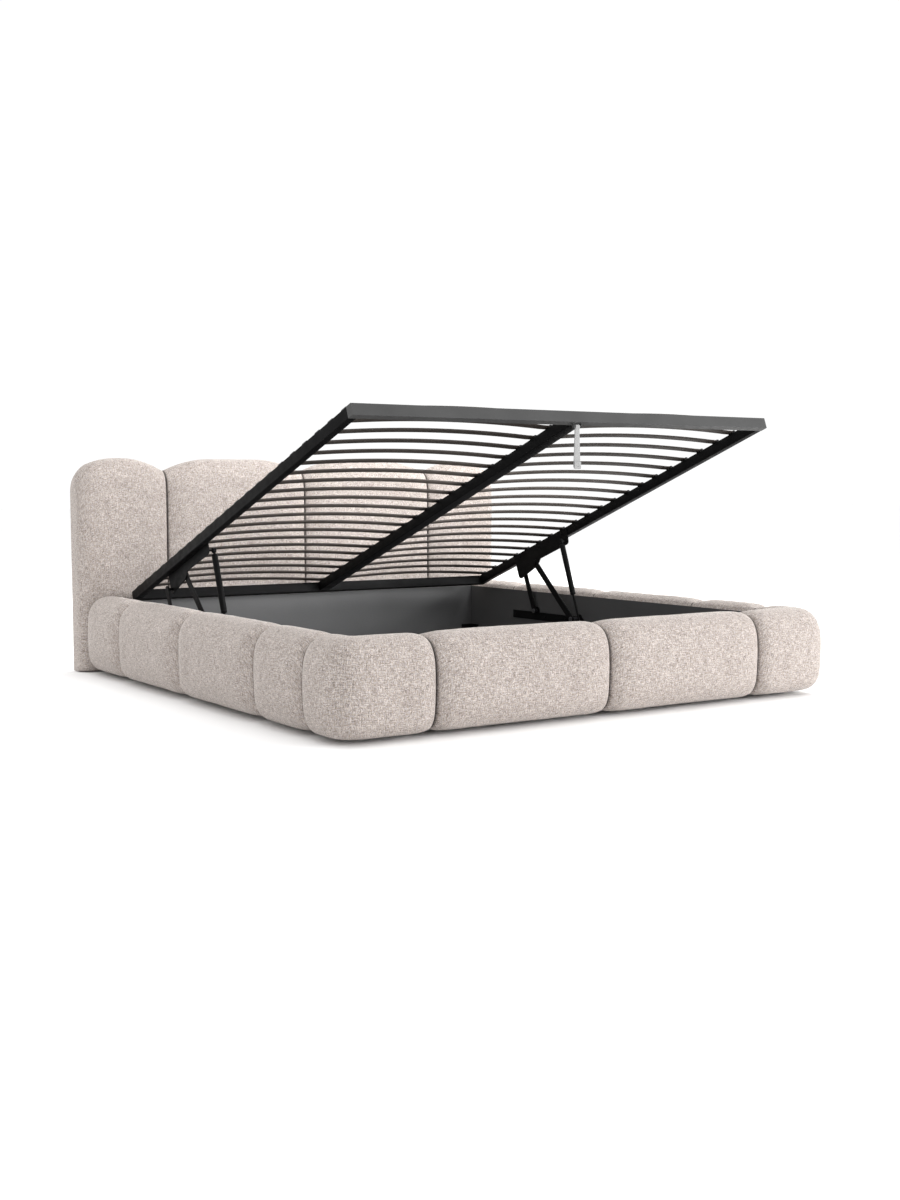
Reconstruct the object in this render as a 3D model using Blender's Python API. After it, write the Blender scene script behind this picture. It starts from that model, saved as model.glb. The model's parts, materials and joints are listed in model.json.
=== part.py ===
"""Upholstered storage bed with a slatted deck that lifts on gas springs.

Metres, +Z up. The headboard stands on the +Y side, the foot end faces -Y, and the
origin is on the floor in the middle of the bed. The deck is modelled raised.
"""

import math

import bmesh
import bpy
from mathutils import Vector

# Storage box
BOX_INNER_WIDTH = 1.820
BOX_INNER_LENGTH = 2.020
BOARD_THICKNESS = 0.018
BOARD_BOTTOM = 0.020
BOARD_TOP = 0.300
HEAD_PANEL_THICKNESS = 0.016
FLOOR_PANEL_THICKNESS = 0.006
FLOOR_BEAM_WIDTH = 0.040
FLOOR_BEAM_HEIGHT = 0.030
LEDGER_WIDTH = 0.020
LEDGER_BOTTOM = 0.008
ANGLE_LEG = 0.060
ANGLE_THICKNESS = 0.003
ANGLE_BOTTOM = 0.060
ANGLE_TOP = 0.110
GLIDE_LENGTH = 0.060
GLIDE_SIDE_MARGIN = 0.001
GLIDE_SETBACK = 0.230
FIT_GAP = 0.0004
SEAM_GAP = 0.0006

# Padded rails
RAIL_PAD_DEPTH = 0.145
RAIL_PAD_CROWN = 0.332
RAIL_PAD_BOTTOM = 0.012
RAIL_EDGE_RADIUS = 0.070
RAIL_SEAM_DEPTH = 0.040
RAIL_TOP_DROP = 0.030
RAIL_BOTTOM_RISE = 0.026
CORNER_PAD_SIDE_REACH = 0.099
CORNER_PAD_FOOT_REACH = 0.210

# Headboard
HEADBOARD_CROWN = 0.914
HEADBOARD_FRAME_TOP = 0.770
HEADBOARD_FRAME_INSET = 0.050
HEADBOARD_FRAME_DEPTH = 0.0326
HEADBOARD_BACK_DEPTH = 0.0078
HEADBOARD_BACK_BOTTOM = 0.030
HEADBOARD_PAD_DEPTH = 0.0921
HEADBOARD_PAD_BOTTOM = 0.002
HEADBOARD_FRONT_GAP = 0.0011
HEADBOARD_DOME_RUN = 0.196
HEADBOARD_DOME_DROP = 0.056
HEADBOARD_CORNER_RADIUS = 0.052
HEADBOARD_EDGE_RADIUS = 0.062
HEADBOARD_SEAM_SHARE = 0.630
HEADBOARD_SEAM_DEPTH = 0.030
HEADBOARD_END_DEPTH = 0.055

# Deck
DECK_SIDE_CLEARANCE = 0.010
DECK_END_CLEARANCE = 0.010
TUBE_WIDTH = 0.030
TUBE_HEIGHT = 0.040
TUBE_WALL = 0.002
CENTRE_BEAM_WIDTH = 0.050
SLAT_ROWS = 21
HEAD_SLAT = 0.049
FOOT_SLAT = 0.068
SLAT_WIDTH = 0.028
SLAT_THICKNESS = 0.0065
SLAT_END_HEIGHT = 0.0065
SLAT_CAMBER = 0.018
SLAT_SOCKET_DEPTH = 0.012
SLAT_END_GAP = 0.0005
HOLDER_WIDTH = 0.031
HOLDER_HEIGHT = 0.0115
HOLDER_SINK = 0.001
HOLDER_INSET = 0.002
HOLDER_SETBACK = 0.008
HOLDER_RAMP = 0.014
HOLDER_LIP = 0.003
CENTRE_HOLDER_WIDTH = 0.058
DECK_HEAD_SETBACK = 0.100
DECK_HEAD_Z = 0.3475
DECK_TILT = math.radians(20.35)

# Lift mechanism: along is measured down the deck from its head end, below from the
# tubes' top face, and a setback from the inner end of the box at the head
REAR_LUG_ALONG = 0.360
REAR_LUG_BELOW = 0.100
FRONT_LUG_ALONG = 0.490
FRONT_LUG_BELOW = 0.083
SPRING_LUG_ALONG = 0.735
SPRING_LUG_BELOW = 0.062
REAR_PIVOT_SETBACK = 0.543
REAR_PIVOT_Z = 0.212
FRONT_PIVOT_SETBACK = 0.858
FRONT_PIVOT_Z = 0.198
SPRING_PIVOT_SETBACK = 0.980
SPRING_PIVOT_Z = 0.085
PLATE_THICKNESS = 0.004
ARM_THICKNESS = 0.005
REAR_ARM_WIDTH = 0.028
FRONT_ARM_WIDTH = 0.030
LOWER_BAR_BOTTOM = 0.169
LOWER_BAR_TOP = 0.205
LOWER_BAR_SETBACK = 0.358
LOBE_RADIUS = 0.019
SPRING_LOBE_RADIUS = 0.016
UPPER_PLATE_START = 0.340
UPPER_PLATE_END = 0.757
UPPER_PLATE_TOP = 0.004
UPPER_PLATE_DEPTH = 0.0765
PIN_RADIUS = 0.006
PIN_HEAD_RADIUS = 0.010
PIN_HEAD_LENGTH = 0.005
STUD_RADIUS = 0.004
SPRING_STUD_RADIUS = 0.005
RUNNING_GAP = 0.0005
REAR_ARM_OFFSET = 0.005
FRONT_ARM_OFFSET = 0.036
SPRING_OFFSET = 0.0595
SPRING_BODY_RADIUS = 0.012
SPRING_BODY_START = 0.008
SPRING_BODY_END = 0.250
SPRING_BORE_START = 0.018
SPRING_ROD_RADIUS = 0.005
SPRING_ROD_LENGTH = 0.256
EYE_RADIUS = 0.010
EYE_WIDTH = 0.014

# Pull strap
STRAP_X = -0.007
STRAP_LENGTH = 0.150
STRAP_WIDTH = 0.030
STRAP_THICKNESS = 0.0022
STRAP_PIN_DROP = 0.009
STRAP_PIN_RADIUS = 0.003
STRAP_GAP = 0.0003
STRAP_EAR_THICKNESS = 0.003
STRAP_EAR_HALF = 0.005

# Derived positions
INNER_X = BOX_INNER_WIDTH / 2
INNER_Y = BOX_INNER_LENGTH / 2
BOARD_OUT_X = INNER_X + BOARD_THICKNESS
BOARD_OUT_Y = INNER_Y + BOARD_THICKNESS
HEAD_PANEL_Y = INNER_Y + FIT_GAP
HEADBOARD_FRONT_Y = HEAD_PANEL_Y + HEAD_PANEL_THICKNESS + HEADBOARD_FRONT_GAP
HEADBOARD_PAD_BACK_Y = HEADBOARD_FRONT_Y + HEADBOARD_PAD_DEPTH
HEADBOARD_HALF = BOARD_OUT_X + FIT_GAP + RAIL_PAD_DEPTH
HEADBOARD_SEAM = HEADBOARD_HALF * HEADBOARD_SEAM_SHARE
SIDE_SEAM_SHARES = (0.6545, 0.0604, -0.5594)
SIDE_SEAMS = [INNER_Y * share for share in SIDE_SEAM_SHARES]
CORNER_SEAM_SIDE = CORNER_PAD_SIDE_REACH - INNER_Y
CORNER_SEAM_FOOT = INNER_X - CORNER_PAD_FOOT_REACH
GLIDE_Y = INNER_Y - GLIDE_SETBACK
DECK_HALF = INNER_X - DECK_SIDE_CLEARANCE
DECK_LENGTH = BOX_INNER_LENGTH - 2 * DECK_END_CLEARANCE
DECK_HEAD_Y = INNER_Y - DECK_HEAD_SETBACK
SLAT_PITCH = (DECK_LENGTH - HEAD_SLAT - FOOT_SLAT) / (SLAT_ROWS - 1)
STRAP_ALONG = DECK_LENGTH - TUBE_WIDTH / 2
REAR_PIVOT_Y = INNER_Y - REAR_PIVOT_SETBACK
FRONT_PIVOT_Y = INNER_Y - FRONT_PIVOT_SETBACK
SPRING_PIVOT_Y = INNER_Y - SPRING_PIVOT_SETBACK
LOWER_BAR_HEAD_Y = INNER_Y - LOWER_BAR_SETBACK
REAR_ARM_X = DECK_HALF - REAR_ARM_OFFSET
FRONT_ARM_X = DECK_HALF - FRONT_ARM_OFFSET
SPRING_AXIS_X = DECK_HALF - SPRING_OFFSET

# Profile tables: shares of pad depth outward from the back plane and shares of
# the height between the pad's bottom and its crown
RAIL_PROFILE_SHARES = (
    (-0.076, 0.952),
    (0.030, 0.977),
    (0.182, 0.995),
    (0.334, 1.000),
    (0.501, 0.992),
    (0.669, 0.962),
    (0.805, 0.911),
    (0.904, 0.838),
    (0.969, 0.744),
    (0.997, 0.610),
    (1.000, 0.420),
    (0.973, 0.213),
    (0.912, 0.112),
    (0.805, 0.044),
    (0.653, 0.008),
    (0.456, 0.000),
)
HEADBOARD_PROFILE_SHARES = (
    (-0.240, 0.984),
    (0.000, 0.997),
    (0.239, 1.000),
    (0.489, 0.994),
    (0.717, 0.978),
    (0.880, 0.951),
    (0.966, 0.914),
    (1.000, 0.864),
    (1.000, 0.688),
    (1.000, 0.498),
    (1.000, 0.310),
    (0.998, 0.133),
    (0.983, 0.044),
    (0.912, 0.011),
    (0.760, 0.000),
)
EDGE_ANGLES = (0, 18, 38, 63, 90)
HEADBOARD_EDGE_SHARES = (0.0, 0.10, 0.38)
HEADBOARD_DOME_SHARES = (0.46, 0.72, 1.0)
HEADBOARD_DOME_POWER = 2.2
CORNER_ANGLES = (0, 15, 30, 45, 60, 75, 90)
CORNER_POWER = 3.2
HEADBOARD_BACK_SHARE = 0.967
UPPER_HALF_SHARE = 0.6
STRAP_FOLD_SHARES = ((1.0, 0.78), (1.7, 0.84), (1.8, 0.96), (1.2, 1.0))


def clear_scene():
    for item in list(bpy.data.objects):
        bpy.data.objects.remove(item, do_unlink=True)


def material(name, colour, roughness, metallic):
    item = bpy.data.materials.new(name)
    item.use_nodes = True
    shader = item.node_tree.nodes["Principled BSDF"]
    shader.inputs["Base Color"].default_value = (*colour, 1.0)
    shader.inputs["Roughness"].default_value = roughness
    shader.inputs["Metallic"].default_value = metallic
    item.diffuse_color = (*colour, 1.0)
    return item


def mesh_from(name, points, faces):
    mesh = bpy.data.meshes.new(name)
    mesh.from_pydata(points, [], faces)
    work = bmesh.new()
    work.from_mesh(mesh)
    bmesh.ops.remove_doubles(work, verts=work.verts, dist=FIT_GAP / 40)
    bmesh.ops.recalc_face_normals(work, faces=work.faces)
    work.to_mesh(mesh)
    work.free()
    return mesh


def place(name, mesh, slot, location=(0, 0, 0), turn=0.0, parent=None, smooth=False):
    item = bpy.data.objects.new(name, mesh)
    bpy.context.scene.collection.objects.link(item)
    item.data.materials.clear()
    item.data.materials.append(slot)
    item.parent = parent
    item.location = location
    item.rotation_euler = (turn, 0, 0)
    if smooth:
        item.data.shade_smooth()
        item.data.set_sharp_from_angle(angle=math.radians(38))
    return item


def box_points(low, high):
    x0, y0, z0 = low
    x1, y1, z1 = high
    points = [(x, y, z) for x in (x0, x1) for y in (y0, y1) for z in (z0, z1)]
    faces = [(0, 1, 3, 2), (4, 6, 7, 5), (0, 4, 5, 1), (2, 3, 7, 6), (0, 2, 6, 4), (1, 5, 7, 3)]
    return points, faces


def box_mesh(name, low, high):
    return mesh_from(name, *box_points(low, high))


def joined_mesh(name, solids):
    points = []
    faces = []
    for solid_points, solid_faces in solids:
        start = len(points)
        points += solid_points
        faces += [tuple(i + start for i in face) for face in solid_faces]
    return mesh_from(name, points, faces)


def centred_box(name, low, high, slot):
    centre = (Vector(low) + Vector(high)) / 2
    mesh = box_mesh(name, Vector(low) - centre, Vector(high) - centre)
    return place(name, mesh, slot, centre)


def prism_points(outline, start, end, axis="x"):
    """Closed prism of a two-value outline, run along one axis."""
    if axis == "x":
        points = [(run, p, q) for run in (start, end) for p, q in outline]
    else:
        points = [(p, run, q) for run in (start, end) for p, q in outline]
    count = len(outline)
    faces = [tuple(range(count)), tuple(range(2 * count - 1, count - 1, -1))]
    for i in range(count):
        j = (i + 1) % count
        faces.append((i, i + count, j + count, j))
    return points, faces


def arc(centre, radius, first, last, steps):
    result = []
    for i in range(steps + 1):
        angle = math.radians(first + (last - first) * i / steps)
        result.append((centre[0] + radius * math.cos(angle), centre[1] + radius * math.sin(angle)))
    return result


def circle(centre, radius, count):
    return arc(centre, radius, 0, 360 * (count - 1) / count, count - 1)


def combined(mesh, other, operation):
    """Mesh of a Boolean between two closed meshes in the same frame."""
    base = bpy.data.objects.new("base", mesh)
    tool = bpy.data.objects.new("tool", other)
    for item in (base, tool):
        bpy.context.scene.collection.objects.link(item)
    cut = base.modifiers.new("shape", "BOOLEAN")
    cut.operation = operation
    cut.solver = "EXACT"
    cut.object = tool
    bpy.context.view_layer.update()
    evaluated = base.evaluated_get(bpy.context.evaluated_depsgraph_get())
    result = bpy.data.meshes.new_from_object(evaluated)
    for item in (base, tool):
        bpy.data.objects.remove(item, do_unlink=True)
    for old in (mesh, other):
        bpy.data.meshes.remove(old)
    return result


def with_hole(mesh, centre, radius, start, end):
    drill = mesh_from("drill", *prism_points(circle(centre, radius, 24), start, end))
    return combined(mesh, drill, "DIFFERENCE")


def bounded(value):
    return max(0.0, min(1.0, value))


def edge_roll(distance, radius):
    """How far a rolled edge has turned away, from 1 at the seam to 0 past the radius."""
    if distance >= radius:
        return 0.0
    return 1.0 - math.sqrt(1.0 - ((radius - distance) / radius) ** 2)


def edge_stations(radius):
    return [radius * (1.0 - math.cos(math.radians(angle))) for angle in EDGE_ANGLES]


def loft(name, rings):
    points = [point for ring in rings for point in ring]
    count = len(rings[0])
    faces = [tuple(range(count)), tuple(range(len(points) - 1, len(points) - count - 1, -1))]
    for k in range(len(rings) - 1):
        for i in range(count):
            j = (i + 1) % count
            faces.append((k * count + i, k * count + j, (k + 1) * count + j, (k + 1) * count + i))
    return mesh_from(name, points, faces)


def rail_section(roll):
    """Section of a rail pad as (outward, height) pairs, its seam edges rolled in."""
    depth = RAIL_PAD_DEPTH
    height = RAIL_PAD_CROWN - RAIL_PAD_BOTTOM
    lip = BOARD_THICKNESS - FIT_GAP
    middle = RAIL_PAD_BOTTOM + height / 2
    section = [(0, BOARD_BOTTOM), (0, BOARD_TOP + FIT_GAP), (-lip, BOARD_TOP + FIT_GAP)]
    section.append((-lip, RAIL_PAD_BOTTOM + height * 0.922))
    for out_share, up_share in RAIL_PROFILE_SHARES:
        out = depth * out_share
        up = RAIL_PAD_BOTTOM + height * up_share
        reach = bounded((out + lip) / (3 * lip))
        above = bounded((up - middle) / (height / 2))
        below = bounded((middle - up) / (height / 2)) * bounded(out_share)
        section.append((
            out - RAIL_SEAM_DEPTH * roll * bounded(out_share),
            up - RAIL_TOP_DROP * roll * reach * above + RAIL_BOTTOM_RISE * roll * below,
        ))
    return section


def straight_ring(edge, outward, along, position, roll):
    """Ring of a straight rail pad; edge is where its back plane is."""
    return [
        (outward[0] * (edge + out) + along[0] * position, outward[1] * (edge + out) + along[1] * position, up)
        for out, up in rail_section(roll)
    ]


def straight_pad(name, edge, outward, along, first, last, slot):
    stations = edge_stations(RAIL_EDGE_RADIUS)
    places = [(first + s, edge_roll(s, RAIL_EDGE_RADIUS)) for s in stations]
    places += [(last - s, edge_roll(s, RAIL_EDGE_RADIUS)) for s in reversed(stations)]
    centre = (first + last) / 2
    rings = [straight_ring(0, outward, along, spot - centre, roll) for spot, roll in places]
    location = (outward[0] * edge + along[0] * centre, outward[1] * edge + along[1] * centre, 0)
    return place(name, loft(name, rings), slot, location, smooth=True)


def corner_pad(name, side, slot):
    """Pad that wraps a foot corner: a run beside the bed, the turn, a run across the foot."""
    lip = BOARD_THICKNESS - FIT_GAP
    back_x = BOARD_OUT_X + FIT_GAP
    turn_x = back_x - lip
    turn_y = -(BOARD_OUT_Y + FIT_GAP) + lip
    stations = edge_stations(RAIL_EDGE_RADIUS)
    rings = []
    for s in stations:
        section = rail_section(edge_roll(s, RAIL_EDGE_RADIUS))
        y = CORNER_SEAM_SIDE - SEAM_GAP / 2 - s
        rings.append([(back_x + out, y, up) for out, up in section])
    for angle in CORNER_ANGLES:
        c = math.cos(math.radians(angle))
        s = math.sin(math.radians(angle))
        square = 1 / max(c, s)
        rounded = (c ** CORNER_POWER + s ** CORNER_POWER) ** (-1 / CORNER_POWER)
        ring = []
        for out, up in rail_section(0.0):
            reach = out + lip
            factor = square if reach <= lip * 1.01 else rounded
            ring.append((turn_x + reach * factor * c, turn_y - reach * factor * s, up))
        rings.append(ring)
    for s in reversed(stations):
        section = rail_section(edge_roll(s, RAIL_EDGE_RADIUS))
        x = CORNER_SEAM_FOOT + SEAM_GAP / 2 + s
        rings.append([(x, turn_y - lip - out, up) for out, up in section])
    centre = Vector((back_x, turn_y, 0))
    moved = [
        [(side * (x - centre.x), y - centre.y, up) for x, y, up in ring]
        for ring in rings
    ]
    return place(name, loft(name, moved), slot, (side * centre.x, centre.y, 0), smooth=True)


def headboard_section(depth_roll, top_drop, open_back):
    """Section of a headboard pad as (outward, height) pairs."""
    depth = HEADBOARD_PAD_DEPTH
    height = HEADBOARD_CROWN - HEADBOARD_PAD_BOTTOM
    lip = HEADBOARD_FRAME_DEPTH
    under = HEADBOARD_FRAME_TOP + FIT_GAP
    back_up = HEADBOARD_PAD_BOTTOM + height * HEADBOARD_BACK_SHARE - top_drop
    back = 0.0
    if open_back:
        back = FIT_GAP - lip
        under = back_up - lip / 2
    section = [(back, HEADBOARD_PAD_BOTTOM), (back, under), (-lip, under), (-lip, back_up)]
    for out_share, up_share in HEADBOARD_PROFILE_SHARES:
        out = depth * out_share
        up = HEADBOARD_PAD_BOTTOM + height * up_share
        above = bounded((up_share - UPPER_HALF_SHARE) / (1 - UPPER_HALF_SHARE))
        section.append((out - depth_roll * bounded(out_share), up - top_drop * above))
    return section


def headboard_drop(distance, outer):
    """How far the domed top of a headboard pad has dropped near one of its ends."""
    rise = bounded(1 - distance / HEADBOARD_DOME_RUN)
    drop = HEADBOARD_DOME_DROP * rise ** HEADBOARD_DOME_POWER
    if outer:
        drop += HEADBOARD_CORNER_RADIUS * edge_roll(distance, HEADBOARD_CORNER_RADIUS)
    return drop


def headboard_stations(outer):
    """Distances from a pad's end, each with whether the pad wraps the frame there."""
    edge = [(HEADBOARD_EDGE_RADIUS * share, outer) for share in HEADBOARD_EDGE_SHARES]
    if outer:
        edge.append((HEADBOARD_FRAME_INSET - FIT_GAP, True))
    edge.append((HEADBOARD_FRAME_INSET, False))
    return edge + [(HEADBOARD_DOME_RUN * share, False) for share in HEADBOARD_DOME_SHARES]


def headboard_pad(name, first, last, first_outer, last_outer, slot):
    """Pad between two x positions; an outer end is rounded further than a seam."""
    places = [(first + s, s, first_outer, wraps) for s, wraps in headboard_stations(first_outer)]
    ends = [(last - s, s, last_outer, wraps) for s, wraps in headboard_stations(last_outer)]
    if ends[-1][0] - places[-1][0] < HEADBOARD_FRAME_INSET:
        ends.pop()
    places += reversed(ends)
    centre = (first + last) / 2
    rings = []
    for spot, s, outer, wraps in places:
        depth = HEADBOARD_END_DEPTH if outer else HEADBOARD_SEAM_DEPTH
        roll = depth * edge_roll(s, HEADBOARD_EDGE_RADIUS)
        section = headboard_section(roll, headboard_drop(s, outer), wraps)
        rings.append([(spot - centre, -out, up) for out, up in section])
    return place(name, loft(name, rings), slot, (centre, HEADBOARD_PAD_BACK_Y, 0), smooth=True)


def tube_mesh(name, low, high, run):
    """Square tube with both ends open; run is 0 for along X and 1 for along Y."""
    walls = [TUBE_WALL] * 3
    walls[run] = 0
    inner_low = [a + w for a, w in zip(low, walls)]
    inner_high = [a - w for a, w in zip(high, walls)]
    cross = [k for k in (0, 1, 2) if k != run]
    points = []
    for end in (low[run], high[run]):
        for lo, hi in ((low, high), (inner_low, inner_high)):
            for p, q in ((0, 0), (1, 0), (1, 1), (0, 1)):
                point = [0, 0, 0]
                point[run] = end
                point[cross[0]] = (lo, hi)[p][cross[0]]
                point[cross[1]] = (lo, hi)[q][cross[1]]
                points.append(tuple(point))
    faces = []
    for i in range(4):
        j = (i + 1) % 4
        faces.append((i, j, j + 8, i + 8))
        faces.append((i + 4, i + 12, j + 12, j + 4))
        faces.append((i, i + 4, j + 4, j))
        faces.append((i + 8, j + 8, j + 12, i + 12))
    return mesh_from(name, points, faces)


def deck_point(along, below, x=0.0):
    """World point of the raised deck."""
    c = math.cos(DECK_TILT)
    s = math.sin(DECK_TILT)
    return Vector((x, DECK_HEAD_Y - along * c - below * s, DECK_HEAD_Z + along * s - below * c))


def deck_local(along, below):
    """Height and run of a deck point in the frame of the deck's pivot."""
    return FRONT_LUG_ALONG - along, FRONT_LUG_BELOW - below


def slat_points(side, along):
    """One bowed slat from its outer holder to just short of the centre holder."""
    start = side * (CENTRE_HOLDER_WIDTH / 2 + SLAT_END_GAP)
    end = side * (DECK_HALF - TUBE_WIDTH - HOLDER_INSET + SLAT_SOCKET_DEPTH)
    centre_y, base_z = deck_local(along, 0)
    segments = 8
    points = []
    for i in range(segments + 1):
        t = i / segments
        x = start + (end - start) * t
        z = base_z + SLAT_END_HEIGHT + SLAT_CAMBER * (1 - (2 * t - 1) ** 2)
        for dy, dz in ((-1, -1), (1, -1), (1, 1), (-1, 1)):
            points.append((x, centre_y + dy * SLAT_WIDTH / 2, z + dz * SLAT_THICKNESS / 2))
    faces = [(0, 1, 2, 3), tuple(range(4 * segments + 3, 4 * segments - 1, -1))]
    for k in range(segments):
        for i in range(4):
            j = (i + 1) % 4
            faces.append((4 * k + i, 4 * k + 4 + i, 4 * k + 4 + j, 4 * k + j))
    return points, faces


def slat_places():
    return [HEAD_SLAT + SLAT_PITCH * i for i in range(SLAT_ROWS)]


def side_holder_points(side, along):
    """Cap over a slat's outer end, sloped down towards the tube's outer edge."""
    y, z = deck_local(along, 0)
    inner = DECK_HALF - TUBE_WIDTH - HOLDER_INSET
    outer = DECK_HALF - HOLDER_SETBACK
    outline = [(inner, z - HOLDER_SINK), (inner, z + HOLDER_HEIGHT), (outer - HOLDER_RAMP, z + HOLDER_HEIGHT)]
    outline += [(outer, z + HOLDER_LIP), (outer, z - HOLDER_SINK)]
    outline = [(side * x, up) for x, up in outline]
    return prism_points(outline, y - HOLDER_WIDTH / 2, y + HOLDER_WIDTH / 2, "y")


def centre_holder_points(along):
    y, z = deck_local(along, 0)
    half = CENTRE_HOLDER_WIDTH / 2
    low = (-half, y - HOLDER_WIDTH / 2, z - HOLDER_SINK)
    return box_points(low, (half, y + HOLDER_WIDTH / 2, z + HOLDER_HEIGHT))


def deck_side(name, side, slot, pivot):
    """Side tube with its holders and its row of slats."""
    head_y, top_z = deck_local(0, 0)
    foot_y = deck_local(DECK_LENGTH - TUBE_WIDTH - FIT_GAP, 0)[0]
    inner = side * (DECK_HALF - TUBE_WIDTH)
    outer = side * DECK_HALF
    low = (min(inner, outer), foot_y, top_z - TUBE_HEIGHT)
    high = (max(inner, outer), head_y, top_z)
    mesh = box_mesh(name, low, high)
    bore_low = (low[0] + TUBE_WALL, foot_y + TUBE_WALL, low[2] + TUBE_WALL)
    bore_high = (high[0] - TUBE_WALL, head_y + TUBE_WALL, top_z - TUBE_WALL)
    mesh = combined(mesh, box_mesh("bore", bore_low, bore_high), "DIFFERENCE")
    holders = [side_holder_points(side, a) for a in slat_places()]
    mesh = combined(mesh, joined_mesh("holders", holders), "UNION")
    slats = [slat_points(side, a) for a in slat_places()]
    mesh = combined(mesh, joined_mesh("slats", slats), "UNION")
    return place(name, mesh, slot, parent=pivot)


def centre_beam(name, slot, pivot):
    head_y, top_z = deck_local(TUBE_WIDTH + FIT_GAP, 0)
    foot_y = deck_local(DECK_LENGTH - TUBE_WIDTH - FIT_GAP, 0)[0]
    half = CENTRE_BEAM_WIDTH / 2
    mesh = tube_mesh(name, (-half, foot_y, top_z - TUBE_HEIGHT), (half, head_y, top_z), 1)
    holders = [centre_holder_points(a) for a in slat_places()]
    mesh = combined(mesh, joined_mesh("holders", holders), "UNION")
    return place(name, mesh, slot, parent=pivot)


def head_bar(name, slot, pivot):
    y, z = deck_local(TUBE_WIDTH / 2, 0)
    half = DECK_HALF - TUBE_WIDTH - FIT_GAP
    low = (-half, y - TUBE_WIDTH / 2, z - TUBE_HEIGHT)
    mesh = tube_mesh(name, low, (half, y + TUBE_WIDTH / 2, z), 0)
    return place(name, mesh, slot, parent=pivot)


def upper_bracket(name, side, slot, pivot):
    """Plate on the side tube's inner face with its pin, spring stud and bolt heads."""
    def spot(along, below):
        return deck_local(along, below)

    rear = spot(REAR_LUG_ALONG, REAR_LUG_BELOW)
    front = spot(FRONT_LUG_ALONG, FRONT_LUG_BELOW)
    spring = spot(SPRING_LUG_ALONG, SPRING_LUG_BELOW)
    outline = [spot(UPPER_PLATE_START, UPPER_PLATE_TOP), spot(UPPER_PLATE_START, SPRING_LUG_BELOW)]
    outline += arc(rear, LOBE_RADIUS, 10, -110, 6)
    outline += arc(front, LOBE_RADIUS, -82, -110, 2)
    outline.append(spot(FRONT_LUG_ALONG + 2 * LOBE_RADIUS, UPPER_PLATE_DEPTH))
    outline += arc(spring, SPRING_LOBE_RADIUS, -90, -180, 4)
    outline.append(spot(UPPER_PLATE_END, UPPER_PLATE_TOP))
    face_x = DECK_HALF - TUBE_WIDTH - FIT_GAP
    inner_x = face_x - PLATE_THICKNESS
    mesh = mesh_from(name, *prism_points(outline, side * inner_x, side * face_x))
    head_x = FRONT_ARM_X - ARM_THICKNESS - RUNNING_GAP
    root_x = inner_x + PLATE_THICKNESS / 2
    pin = prism_points(circle(front, PIN_RADIUS, 20), side * (head_x - PIN_HEAD_LENGTH / 2), side * root_x)
    stud_end = SPRING_AXIS_X - EYE_WIDTH / 2 + RUNNING_GAP
    stud = prism_points(circle(spring, STUD_RADIUS, 16), side * stud_end, side * root_x)
    mesh = combined(mesh, joined_mesh("pins", [pin, stud]), "UNION")
    head = prism_points(circle(front, PIN_HEAD_RADIUS, 20), side * (head_x - PIN_HEAD_LENGTH), side * head_x)
    bolts = []
    for along in (UPPER_PLATE_START + TUBE_HEIGHT, FRONT_LUG_ALONG + TUBE_HEIGHT, UPPER_PLATE_END - TUBE_HEIGHT):
        centre = spot(along, TUBE_HEIGHT / 2)
        bolts.append(prism_points(circle(centre, PIN_RADIUS, 6), side * (inner_x - PLATE_THICKNESS), side * root_x))
    mesh = combined(mesh, joined_mesh("heads", [head] + bolts), "UNION")
    return place(name, mesh, slot, parent=pivot)


def lower_bracket(name, side, slot):
    """Plate on the side board's inner face, drilled for the three pivots."""
    rear = (REAR_PIVOT_Y, REAR_PIVOT_Z)
    front = (FRONT_PIVOT_Y, FRONT_PIVOT_Z)
    spring = (SPRING_PIVOT_Y, SPRING_PIVOT_Z)
    outline = [(LOWER_BAR_HEAD_Y, LOWER_BAR_BOTTOM), (LOWER_BAR_HEAD_Y, LOWER_BAR_TOP)]
    outline += arc(rear, LOBE_RADIUS, -20, 200, 9)
    outline += arc(front, LOBE_RADIUS, 22, 160, 6)
    outline += arc(spring, SPRING_LOBE_RADIUS, 145, 320, 8)
    outline.append((FRONT_PIVOT_Y, LOWER_BAR_BOTTOM))
    outer_x = INNER_X - FIT_GAP
    inner_x = outer_x - PLATE_THICKNESS
    origin = (side * outer_x, REAR_PIVOT_Y, REAR_PIVOT_Z)
    local = [(y - origin[1], z - origin[2]) for y, z in outline]
    mesh = mesh_from(name, *prism_points(local, -side * PLATE_THICKNESS, 0))
    for (y, z), radius in ((rear, PIN_RADIUS), (front, PIN_RADIUS), (spring, SPRING_STUD_RADIUS)):
        spot = (y - origin[1], z - origin[2])
        mesh = with_hole(mesh, spot, radius + FIT_GAP, -side * 2 * PLATE_THICKNESS, side * PLATE_THICKNESS)
    return place(name, mesh, slot, origin)


def pivot_bolt(name, side, pivot, radius, inner_x, head, slot):
    """Bolt from inside the lower bracket's hole inward, with a head past the arm."""
    outer_x = INNER_X - 2 * FIT_GAP
    mesh = mesh_from(name, *prism_points(circle((0, 0), radius, 20), 0, side * (inner_x - outer_x)))
    if head:
        cap = prism_points(
            circle((0, 0), PIN_HEAD_RADIUS, 20),
            side * (inner_x - outer_x - PIN_HEAD_LENGTH),
            side * (inner_x - outer_x + PIN_HEAD_LENGTH / 20),
        )
        mesh = combined(mesh, mesh_from("cap", *cap), "UNION")
    return place(name, mesh, slot, (side * outer_x, *pivot), smooth=True)


def arm_outline(length, width):
    half = width / 2
    return arc((0, 0), half, 90, 270, 8) + arc((length, 0), half, -90, 90, 8)


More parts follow.
